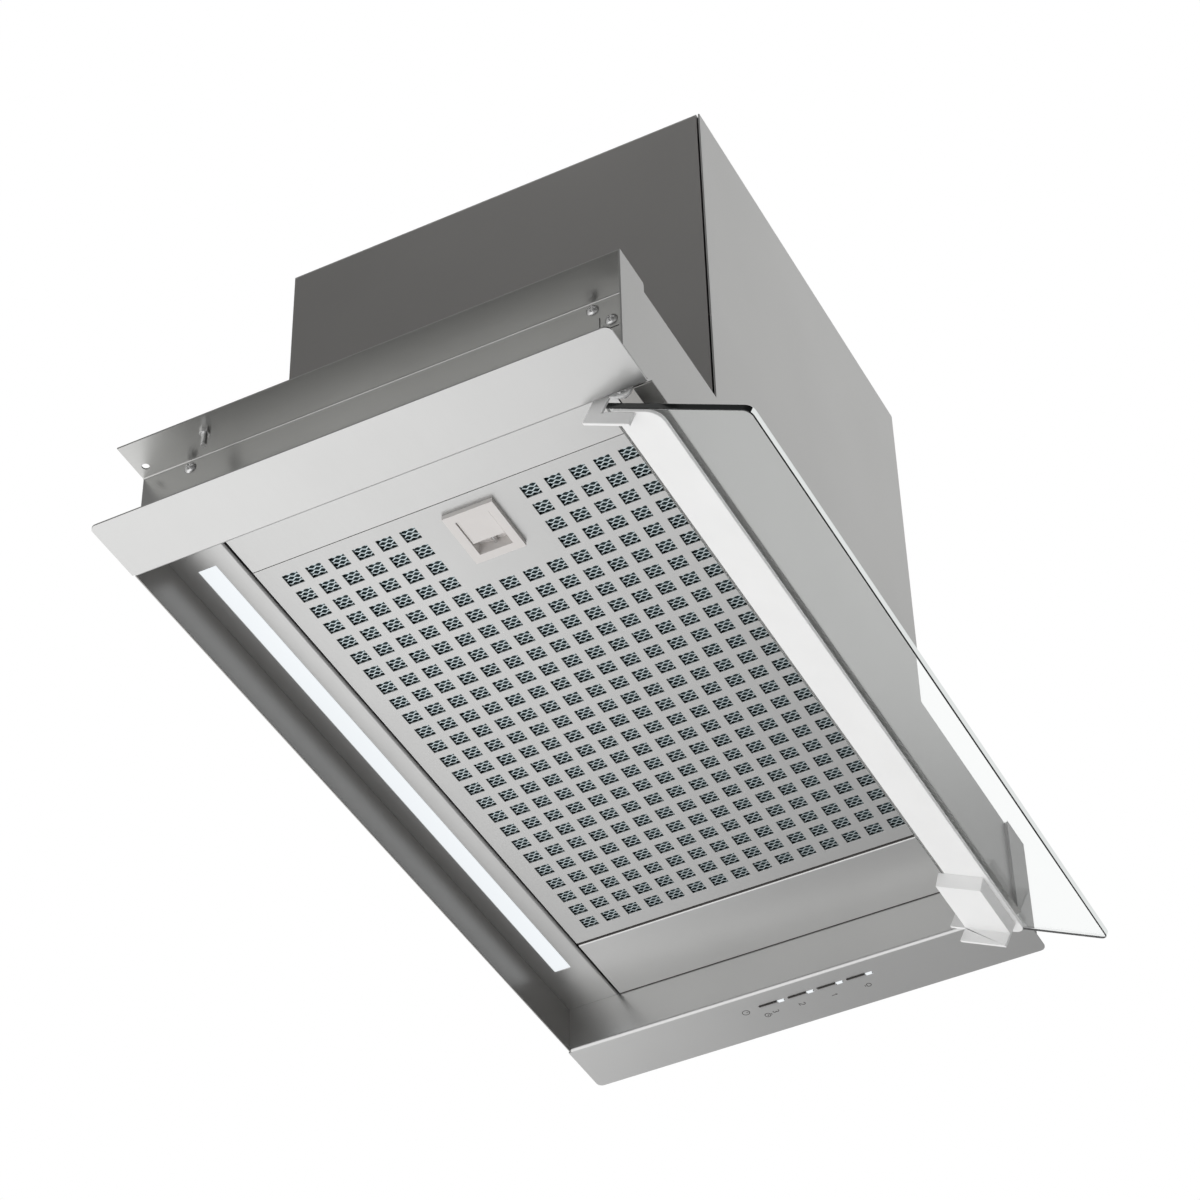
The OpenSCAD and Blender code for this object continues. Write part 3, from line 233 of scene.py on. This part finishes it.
def glowing(name, colour, strength):
    """A pale surface that gives off light, with faint clouds in it."""
    material, tree, shader = new_material(name)
    clouds = object_noise(tree, GLOW_CLOUD_SCALE, 1)
    tree.links.new(tint(tree, clouds, shade_of(colour, 0.97), shade_of(colour, 1.0)),
                   shader.inputs["Emission Color"])
    shader.inputs["Base Color"].default_value = LENS_BASE
    shader.inputs["Roughness"].default_value = 0.5
    shader.inputs["Emission Strength"].default_value = strength
    return material


def circuit_board(name):
    """Green solder resist with tracks."""
    material, tree, shader = new_material(name)
    tracks = object_noise(tree, TRACK_SCALE, 0)
    tree.links.new(tint(tree, tracks, BOARD_GREEN, TRACK_GREEN), shader.inputs["Base Color"])
    shader.inputs["Roughness"].default_value = 0.35
    bump(tree, shader, tracks, TRACK_BUMP, FINE_BUMP)
    return material


def copper_wire(name):
    """Enamelled copper, wound round the motor's axis along X."""
    material, tree, shader = new_material(name)
    turns = object_noise(tree, TURN_SCALE, 0, ROUND_X)
    tree.links.new(tint(tree, turns, COPPER_DARK, COPPER_LIGHT), shader.inputs["Base Color"])
    shader.inputs["Metallic"].default_value = 0.9
    shader.inputs["Roughness"].default_value = 0.32
    bump(tree, shader, turns, TURN_BUMP, TURN_DEEP)
    return material


MATERIALS = {
    "flange_steel": brushed_steel("flange_steel", FLANGE_STEEL, 0.34),
    "filter_steel": brushed_steel("filter_steel", STEEL, 0.38),
    "housing_steel": brushed_steel("housing_steel", BOX_STEEL, 0.34, ALONG_Y),
    "dark_steel": brushed_steel("dark_steel", DARK_STEEL, 0.40, ALONG_Y),
    "key_steel": brushed_steel("key_steel", STEEL, 0.30, ALONG_Y),
    "motor_steel": polished_metal("motor_steel", MOTOR_STEEL, 0.40),
    "zinc_steel": polished_metal("zinc_steel", ZINC, 0.26),
    "dark_plastic": plastic("dark_plastic", DARK_PLASTIC, 0.45),
    "grey_plastic": plastic("grey_plastic", GREY_PLASTIC, 0.45),
    "white_plastic": plastic("white_plastic", WHITE, 0.36),
    "latch_plastic": plastic("latch_plastic", LATCH_WHITE, 0.42),
    "lit_lens": glowing("lit_lens", LIGHT_COLOUR, 0.90),
    "light_board": plastic("light_board", LIGHT_BOARD, 0.35),
    "circuit_board": circuit_board("circuit_board"),
    "copper_winding": copper_wire("copper_winding"),
    "filter_mesh": polished_metal("filter_mesh", MESH_METAL, 0.36),
    "filter_metal": polished_metal("filter_metal", MESH_METAL, 0.36),
    "mesh_shade": plastic("mesh_shade", MESH_SHADE, 0.7),
    "visor_glass": clear_glass("visor_glass"),
    # Painted shade on the glass's end faces, and a painted glow on its outer edge, which is no lamp
    "glass_end_painted_shade": plastic("glass_end_painted_shade", GLASS_END_PAINTED_SHADE, 0.16),
    "glass_rim_painted_glow": glowing("glass_rim_painted_glow", GLASS_RIM_PAINTED_GLOW, 0.8),
    # Printed ink for the symbols, and painted shade for the dark faces and strips at gaps
    "ink_and_painted_shade": plastic("ink_and_painted_shade", INK_AND_SHADE, 0.6),
}
SLOT_OF = {n["node"]: n["material_slot"] for n in frame["record"]["subparts"]}
BODY_OF = {n: b for b, ns in frame["record"]["behaviour"]["bodies"].items() for n in ns}


def dress(obj, material):
    """Gives an object one of the materials instead of those it has."""
    obj.data.materials.clear()
    obj.data.materials.append(MATERIALS[material])


for name, cad in frame["nodes"].items():
    dress(cad, SLOT_OF[name])


# Camera

CAMERA_CLIP = 0.05


def add_camera():
    """The camera that took the photograph."""
    data = bpy.data.cameras.new("camera")
    data.sensor_width = CAMERA_SENSOR
    data.lens = CAMERA_LENS
    data.clip_start = CAMERA_CLIP
    camera = bpy.data.objects.new("camera", data)
    scene.collection.objects.link(camera)
    back = -CAMERA_FORWARD.normalized()
    right = CAMERA_UP.cross(back).normalized()
    up = back.cross(right)
    turn = Matrix((right, up, back)).transposed().to_4x4()
    camera.matrix_world = Matrix.Translation(CAMERA_PLACE) @ turn
    scene.camera = camera


add_camera()


# Pieces with rounded edges, made from the frame's shapes

SAME_POINT = 1e-6
FLAT_ANGLE = math.radians(0.6)
SHARP_ANGLE = math.radians(30)
FACE_WEIGHT = 100


def rounded_piece(name, width, segments):
    """Stands for a node: a copy of its shape with every sharp edge rounded off."""
    cad = frame["nodes"][name]
    shape = bmesh.new()
    shape.from_mesh(cad.data)
    bmesh.ops.remove_doubles(shape, verts=shape.verts, dist=SAME_POINT)
    bmesh.ops.dissolve_limit(shape, angle_limit=FLAT_ANGLE, verts=shape.verts, edges=shape.edges)
    mesh = bpy.data.meshes.new(name + "_piece")
    shape.to_mesh(mesh)
    shape.free()
    piece = bpy.data.objects.new(name + "_piece", mesh)
    scene.collection.objects.link(piece)
    for face in mesh.polygons:
        face.use_smooth = True
    bevel = piece.modifiers.new("edges", "BEVEL")
    bevel.limit_method = "ANGLE"
    bevel.angle_limit = SHARP_ANGLE
    bevel.width = width
    bevel.segments = segments
    weighted = piece.modifiers.new("flat_faces", "WEIGHTED_NORMAL")
    weighted.weight = FACE_WEIGHT
    weighted.keep_sharp = False
    bpy.context.view_layer.update()
    graph = bpy.context.evaluated_depsgraph_get()
    finished = bpy.data.meshes.new_from_object(piece.evaluated_get(graph))
    piece.modifiers.clear()
    piece.data = finished
    piece.data.name = name + "_piece"
    dress(piece, OTHER_MATERIAL.get(name, SLOT_OF[name]))
    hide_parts(name)
    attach(piece, BODY_OF[name])
    return piece


# The width of each rounded edge in millimetres, and its number of segments
ROUNDED = {
    "left_end_frame": (0.3, 2),
    "right_end_frame": (0.3, 2),
    "left_mounting_bracket": (0.3, 2),
    "right_mounting_bracket": (0.3, 2),
    "front_panel": (0.3, 2),
    "front_rim": (0.25, 2),
    "back_wall": (0.3, 2),
    "canopy_top_plate": (0.3, 2),
    "left_filler_panel": (0.3, 2),
    "right_filler_panel": (0.3, 2),
    "light_panel": (0.3, 2),
    "motor_box": (0.3, 2),
    "motor_box_lid": (0.3, 2),
    "filter_tray": (0.14, 1),
    "latch_bezel": (0.45, 3),
    "latch_slider": (0.3, 2),
    "visor_glass": (0.7, 3),
    "visor_rail": (0.5, 3),
    "left_visor_bracket": (0.6, 3),
    "right_visor_bracket": (0.6, 3),
    "speed_3_key": (0.25, 2),
    "speed_2_key": (0.25, 2),
    "speed_1_key": (0.25, 2),
    "lamp_key": (0.25, 2),
    "bracket_screws": (0.15, 2),
    "clamp_screws": (0.15, 2),
    "duct_collar": (0.4, 2),
    "light_lens": (0.3, 2),
}
# Pieces whose look isn't that of their slot
OTHER_MATERIAL = {
    "motor_box": "dark_steel",
    "back_wall": "dark_steel",
    "front_rim": "dark_steel",
    "latch_bezel": "latch_plastic",
    "latch_slider": "latch_plastic",
}
PIECES = {name: rounded_piece(name, width * MM, segments)
          for name, (width, segments) in ROUNDED.items()}


# Faces that look other than the rest of their piece: painted shade and painted glow

GLASS_END_SHARE = 0.5
GLASS_RIM_SHARE = 0.75
PANEL_SIDE_SHARE = 0.5
KEY_SIDE_SHARE = 0.7
SHADOW_GAP = 1.0 * MM
KEYS = ("speed_3_key", "speed_2_key", "speed_1_key", "lamp_key")


def paint_glass_edge_light(piece):
    """The glass's end faces are painted black and its outer edge is given a pale glow: painted shade
    and painted light for how the glass's edges look.
    """
    mesh = piece.data
    mesh.materials.append(MATERIALS["glass_end_painted_shade"])
    mesh.materials.append(MATERIALS["glass_rim_painted_glow"])
    for face in mesh.polygons:
        if abs(face.normal.x) > GLASS_END_SHARE:
            face.material_index = 1
        elif face.normal.y < -GLASS_RIM_SHARE:
            face.material_index = 2


def shaded_sides(piece, least):
    """Faces that look left by more than the given share are painted dark: painted shade, as in the
    shadowed gaps beside them.
    """
    mesh = piece.data
    mesh.materials.append(MATERIALS["ink_and_painted_shade"])
    for face in mesh.polygons:
        if face.normal.x < -least:
            face.material_index = 1


paint_glass_edge_light(PIECES["visor_glass"])
# Painted shade on the left-facing sides of the right filler panel and the keys
shaded_sides(PIECES["right_filler_panel"], PANEL_SIDE_SHARE)
for key in KEYS:
    shaded_sides(PIECES[key], KEY_SIDE_SHARE)


def set_back(piece, depth):
    """Moves the piece's front edges back, which leaves a fine shadow gap behind the front panel."""
    front = min(v.co.y for v in piece.data.vertices)
    for vertex in piece.data.vertices:
        if vertex.co.y < front + depth:
            vertex.co.y += depth


for name in ("motor_box", "motor_box_lid"):
    set_back(PIECES[name], SHADOW_GAP)


# Grease filter: expanded metal over a dark pad of painted shade

MESH_PITCH_X = 2.5 * MM
MESH_PITCH_Y = 4.2 * MM
STRAND_WAVE = 0.62 * MM
STRAND_HALF = 0.45 * MM
STRAND_DEEP = 0.5 * MM
STRAND_LIFT = 0.15 * MM
SHADE_PAD_LIFT = 2.2 * MM
MESH_MARGIN = 0.3 * MM


def new_piece(name, shape, material, body):
    """A flat shaded piece from a shape, on a body."""
    mesh = bpy.data.meshes.new(name)
    shape.to_mesh(mesh)
    shape.free()
    piece = bpy.data.objects.new(name, mesh)
    scene.collection.objects.link(piece)
    dress(piece, material)
    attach(piece, body)
    return piece


def add_bar(shape, rings):
    """Joins equal rings of points into one closed bar."""
    made = [[shape.verts.new(point) for point in ring] for ring in rings]
    sides = len(made[0])
    for a, b in zip(made, made[1:]):
        for k in range(sides):
            shape.faces.new((a[k], a[(k + 1) % sides], b[(k + 1) % sides], b[k]))
    shape.faces.new(list(reversed(made[0])))
    shape.faces.new(made[-1])


def strand_rings(places, x, phase, z):
    """Rings of three points along one zigzag strand: a flat underside and a ridge above it."""
    rings = []
    for k, y in places:
        middle = x + STRAND_WAVE * (1 if (k + phase) % 2 else -1)
        rings.append(((middle + STRAND_HALF, y, z), (middle - STRAND_HALF, y, z),
                      (middle, y, z + STRAND_DEEP)))
    return rings


def add_block(shape, low, high):
    """A block from its low corner to its high one."""
    corners = [(x, y, z)
               for x in (low[0], high[0])
               for y in (low[1], high[1])
               for z in (low[2], high[2])]
    points = [shape.verts.new(c) for c in corners]
    for face in ((0, 1, 3, 2), (4, 6, 7, 5), (0, 4, 5, 1), (2, 3, 7, 6), (0, 2, 6, 4), (1, 5, 7, 3)):
        shape.faces.new([points[k] for k in face])


def filter_metal():
    """Replaces the solid pad: zigzag strands that meet in diamonds, and above them a dark pad that
    is painted shade for the filter's dark inside.
    """
    low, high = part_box("filter_mesh")
    bezel_low, bezel_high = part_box("latch_bezel")
    pocket_x = (low[0], bezel_high[0])
    pocket_y = (bezel_low[1], bezel_high[1])
    rows = int((high[1] - low[1] - 2 * MESH_MARGIN) / (MESH_PITCH_Y / 2))
    columns = int((high[0] - low[0] - 2 * STRAND_WAVE - 2 * STRAND_HALF) / MESH_PITCH_X)
    x0 = (low[0] + high[0] - columns * MESH_PITCH_X) / 2
    y0 = (low[1] + high[1] - rows * MESH_PITCH_Y / 2) / 2
    strands = bmesh.new()
    for column in range(columns + 1):
        x = x0 + column * MESH_PITCH_X
        places = [(k, y0 + k * MESH_PITCH_Y / 2) for k in range(rows + 1)]
        runs = [places]
        if x < pocket_x[1]:
            runs = [[p for p in places if p[1] < pocket_y[0]],
                    [p for p in places if p[1] > pocket_y[1]]]
        for run in runs:
            add_bar(strands, strand_rings(run, x, column, low[2] + STRAND_LIFT))
    metal = new_piece("expanded_metal", strands, "filter_metal", BODY_OF["filter_mesh"])
    # The dark pad above the strands is painted shade for the inside of the filter
    shade_pad_shape = bmesh.new()
    floor_z = low[2] + SHADE_PAD_LIFT
    for box_low, box_high in (
            ((low[0], low[1]), (high[0], pocket_y[0])),
            ((low[0], pocket_y[1]), (high[0], high[1])),
            ((pocket_x[1], pocket_y[0]), (high[0], pocket_y[1]))):
        add_block(shade_pad_shape, (*box_low, floor_z), (*box_high, high[2]))
    shade_pad = new_piece("filter_shade_pad", shade_pad_shape, "mesh_shade", BODY_OF["filter_mesh"])
    for piece in (metal, shade_pad):
        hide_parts("filter_mesh")


filter_metal()


# Symbols beside the keys, printed on the right flange

INK_AND_SHADE_T = 0.06 * MM
INK_AND_SHADE_HALF = 0.22 * MM
SYMBOL_SIZE = 3.8 * MM
ARC_STEPS = 24
CLOSED_GAP = 1e-7
MITRE_LEAST = 0.5


def arc(middle, radius, start, end, steps=ARC_STEPS):
    """Points of an arc, with angles in degrees from the reader's right."""
    turns = [math.radians(start + (end - start) * k / steps) for k in range(steps + 1)]
    return [(middle[0] + radius * math.cos(t), middle[1] + radius * math.sin(t)) for t in turns]


# Strokes of each symbol, in shares of its size: to the reader's right, and up
SYMBOLS = {
    "power": [arc((0, 0), 0.62, 0, 360), [(0, 0.05), (0, 0.4)]],
    "timer": [arc((0, 0), 0.5, 0, 360), [(0, 0.28), (0, 0), (0.22, 0)],
              [(-0.2, 0.72), (0.2, 0.72)]],
    "three": [arc((0, 0.24), 0.26, 140, -90, 12), arc((0, -0.24), 0.26, 90, -140, 12)],
    "two": [arc((0, 0.22), 0.28, 160, -35, 12) + [(-0.28, -0.5), (0.3, -0.5)]],
    "one": [[(-0.2, 0.25), (0.04, 0.5), (0.04, -0.5)]],
    "lamp": [arc((0, 0.12), 0.42, -50, 230, 18) + [(0.27, -0.2)], [(-0.2, -0.5), (0.2, -0.5)]],
}
# Places of the symbols' middles: outwards from the middle of the keys, and back from the first key
KEY_X = sum(c[0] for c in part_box("speed_3_key")) / 2
SYMBOL_PLACES = {
    "power": (KEY_X + 1.2 * MM, 37.0 * MM),
    "timer": (KEY_X + 10.0 * MM, 25.8 * MM),
    "three": (KEY_X + 8.5 * MM, 19.5 * MM),
    "two": (KEY_X + 9.4 * MM, 1.5 * MM),
    "one": (KEY_X + 10.4 * MM, -20.3 * MM),
    "lamp": (KEY_X + 11.0 * MM, -43.1 * MM),
}


def add_stroke(shape, points, z):
    """One flat stroke of the symbols along a list of points, mitred at its bends."""
    points = [Vector(p) for p in points]
    closed = (points[0] - points[-1]).length < CLOSED_GAP
    if closed:
        points[-1] = points[0]
    rings = []
    last = len(points) - 1
    for k, point in enumerate(points):
        ways = []
        if k or closed:
            ways.append((point - points[k - 1 if k else last - 1]).normalized())
        if k < last or closed:
            ways.append((points[k + 1 if k < last else 1] - point).normalized())
        way = sum(ways, Vector((0, 0))).normalized()
        side = Vector((-way.y, way.x)) * INK_AND_SHADE_HALF / max(MITRE_LEAST, way.dot(ways[0]))
        left, right = point + side, point - side
        rings.append(((left.x, left.y, z), (right.x, right.y, z),
                      (right.x, right.y, z - INK_AND_SHADE_T), (left.x, left.y, z - INK_AND_SHADE_T)))
    add_bar(shape, rings)


def symbols():
    """Each symbol faces a reader who stands in front: right is +X and up is towards the reader."""
    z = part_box("right_end_frame")[0][2]
    shape = bmesh.new()
    for name, strokes in SYMBOLS.items():
        x, y = SYMBOL_PLACES[name]
        for stroke in strokes:
            add_stroke(shape, [(x + a * SYMBOL_SIZE, y - b * SYMBOL_SIZE) for a, b in stroke], z)
    bmesh.ops.recalc_face_normals(shape, faces=shape.faces)
    piece = new_piece("key_symbols", shape, "ink_and_painted_shade", BODY_OF["right_end_frame"])


symbols()


# Dark strips where the photo shows a narrow gap in shadow

PANEL_SEAM_SHADE = 0.7 * MM
KEY_SHADE = 0.8 * MM
KEY_HALF = 1.25 * MM


def dark_strip(name, owner, x, width):
    """A flat dark strip of painted shade along the whole of a node's underside, from x to x + width.
    """
    low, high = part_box(owner)
    z = low[2]
    rings = [((x, y, z), (x + width, y, z), (x + width, y, z - INK_AND_SHADE_T), (x, y, z - INK_AND_SHADE_T))
             for y in (low[1] + INK_AND_SHADE_HALF, high[1] - INK_AND_SHADE_HALF)]
    shape = bmesh.new()
    add_bar(shape, rings)
    bmesh.ops.recalc_face_normals(shape, faces=shape.faces)
    piece = new_piece(name, shape, "ink_and_painted_shade", BODY_OF[owner])


# Painted shade: a dark strip at the panel's outer seam and one along each key's slot
PANEL_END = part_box("right_filler_panel")[1][0]
dark_strip("panel_seam", "right_filler_panel", PANEL_END - PANEL_SEAM_SHADE, PANEL_SEAM_SHADE)
for key in KEYS:
    dark_strip(key + "_shade", key, KEY_X - KEY_HALF, KEY_SHADE)


# Studio: a sky that is brighter below, on the right and at the back, over a pale floor that glows

SKY_LEVEL = 0.54
SKY_SLOPE = (0.20, 0.34, -0.32)
SKY_LEAST = 0.06
FLOOR_Z = -1.5
FLOOR_SIDE = 8.0
# The floor's glow lights the hood on the left and at the back, up to a soft edge across it
GLOW_WAY = (0.6, -0.8, 0)
GLOW_BRIGHT_TO = 0.26
GLOW_DIM_FROM = 0.46
GLOW_BRIGHT = 1.02
GLOW_DIM = 0.14
# It fades out in front of the hood
FRONT_DIM_TO = -0.7
FRONT_BRIGHT_FROM = 0.1
FRONT_DIM = 0.08
# It looks plain and pale to the camera
FLOOR_WHITE = 0.90
# Each softbox: its place, where it points, its size in metres and its power in watts
SOFTBOXES = {
    "front_softbox": ((0.70, -0.58, 1.10), (-0.16, -0.155, 0.22), (0.9, 0.9), 1.45),
    "top_softbox": ((0, 0, 2.0), (0, 0, 0), (1.6, 1.6), 16),
}


def add_world():
    """Light that changes evenly with its direction, and plain white where the camera looks past."""
    world = bpy.data.worlds.new("studio")
    scene.world = world
    world.use_nodes = True
    tree = world.node_tree
    tree.nodes.clear()
    output = node(tree, "ShaderNodeOutputWorld")
    light = node(tree, "ShaderNodeBackground")
    white = node(tree, "ShaderNodeBackground", Color=(1, 1, 1, 1), Strength=1)
    way = node(tree, "ShaderNodeTexCoord")
    slope = node(tree, "ShaderNodeVectorMath", operation="DOT_PRODUCT")
    slope.inputs[1].default_value = SKY_SLOPE
    level = node(tree, "ShaderNodeMath", operation="ADD")
    level.inputs[1].default_value = SKY_LEVEL
    least = node(tree, "ShaderNodeMath", operation="MAXIMUM")
    least.inputs[1].default_value = SKY_LEAST
    tree.links.new(way.outputs["Generated"], slope.inputs[0])
    tree.links.new(slope.outputs["Value"], level.inputs[0])
    tree.links.new(level.outputs["Value"], least.inputs[0])
    tree.links.new(least.outputs["Value"], light.inputs["Strength"])
    rays = node(tree, "ShaderNodeLightPath")
    either = node(tree, "ShaderNodeMath", operation="MAXIMUM")
    mix = node(tree, "ShaderNodeMixShader")
    tree.links.new(rays.outputs["Is Camera Ray"], either.inputs[0])
    tree.links.new(rays.outputs["Is Transmission Ray"], either.inputs[1])
    tree.links.new(either.outputs[0], mix.inputs["Fac"])
    tree.links.new(light.outputs["Background"], mix.inputs[1])
    tree.links.new(white.outputs["Background"], mix.inputs[2])
    tree.links.new(mix.outputs["Shader"], output.inputs["Surface"])


def floor_material():
    """Pale floor that glows for the hood, looks plain to the camera and can't be seen from below."""
    material, tree, shader = new_material("floor")
    clouds = object_noise(tree, FLOOR_CLOUD_SCALE, 2)
    tree.links.new(tint(tree, clouds, FLOOR_DARK, FLOOR_LIGHT), shader.inputs["Base Color"])
    shader.inputs["Roughness"].default_value = 0.9
    shader.inputs["Emission Color"].default_value = (1, 1, 1, 1)
    place = node(tree, "ShaderNodeTexCoord")
    across = node(tree, "ShaderNodeVectorMath", operation="DOT_PRODUCT")
    across.inputs[1].default_value = GLOW_WAY
    edge = node(tree, "ShaderNodeMapRange", interpolation_type="SMOOTHSTEP")
    edge.inputs["From Min"].default_value = GLOW_BRIGHT_TO
    edge.inputs["From Max"].default_value = GLOW_DIM_FROM
    edge.inputs["To Min"].default_value = GLOW_BRIGHT
    edge.inputs["To Max"].default_value = GLOW_DIM
    parts = node(tree, "ShaderNodeSeparateXYZ")
    fade = node(tree, "ShaderNodeMapRange", interpolation_type="SMOOTHSTEP")
    fade.inputs["From Min"].default_value = FRONT_DIM_TO
    fade.inputs["From Max"].default_value = FRONT_BRIGHT_FROM
    fade.inputs["To Min"].default_value = FRONT_DIM
    both = node(tree, "ShaderNodeMath", operation="MULTIPLY")
    tree.links.new(place.outputs["Object"], across.inputs[0])
    tree.links.new(place.outputs["Object"], parts.inputs["Vector"])
    tree.links.new(across.outputs["Value"], edge.inputs["Value"])
    tree.links.new(parts.outputs["Y"], fade.inputs["Value"])
    tree.links.new(edge.outputs["Result"], both.inputs[0])
    tree.links.new(fade.outputs["Result"], both.inputs[1])
    tree.links.new(both.outputs["Value"], shader.inputs["Emission Strength"])
    rays = node(tree, "ShaderNodeLightPath")
    looks = node(tree, "ShaderNodeMath", operation="MAXIMUM")
    pale = node(tree, "ShaderNodeEmission", Color=(1, 1, 1, 1), Strength=FLOOR_WHITE)
    seen = node(tree, "ShaderNodeMixShader")
    side = node(tree, "ShaderNodeNewGeometry")
    clear = node(tree, "ShaderNodeBsdfTransparent")
    mix = node(tree, "ShaderNodeMixShader")
    output = tree.nodes["Material Output"]
    tree.links.new(rays.outputs["Is Camera Ray"], looks.inputs[0])
    tree.links.new(rays.outputs["Is Transmission Ray"], looks.inputs[1])
    tree.links.new(looks.outputs["Value"], seen.inputs["Fac"])
    tree.links.new(shader.outputs["BSDF"], seen.inputs[1])
    tree.links.new(pale.outputs["Emission"], seen.inputs[2])
    tree.links.new(side.outputs["Backfacing"], mix.inputs["Fac"])
    tree.links.new(seen.outputs["Shader"], mix.inputs[1])
    tree.links.new(clear.outputs["BSDF"], mix.inputs[2])
    tree.links.new(mix.outputs["Shader"], output.inputs["Surface"])
    return material


def add_floor():
    """A plain square floor below the hood."""
    half = FLOOR_SIDE / 2
    shape = bmesh.new()
    shape.faces.new([shape.verts.new((x * half, y * half, FLOOR_Z))
                     for x, y in ((-1, -1), (1, -1), (1, 1), (-1, 1))])
    mesh = bpy.data.meshes.new("floor")
    shape.to_mesh(mesh)
    shape.free()
    floor = bpy.data.objects.new("floor", mesh)
    scene.collection.objects.link(floor)
    mesh.materials.append(floor_material())


def add_softbox(name, place, target, size, power):
    """A rectangular lamp that the camera doesn't see."""
    data = bpy.data.lights.new(name, "AREA")
    data.shape = "RECTANGLE"
    data.size, data.size_y = size
    data.energy = power
    lamp = bpy.data.objects.new(name, data)
    scene.collection.objects.link(lamp)
    lamp.visible_camera = False
    lamp.location = place
    lamp.rotation_euler = (Vector(target) - Vector(place)).to_track_quat("-Z", "Y").to_euler()


add_world()
add_floor()
for name, (place, target, size, power) in SOFTBOXES.items():
    add_softbox(name, place, target, size, power)

scene.view_settings.view_transform = "Standard"
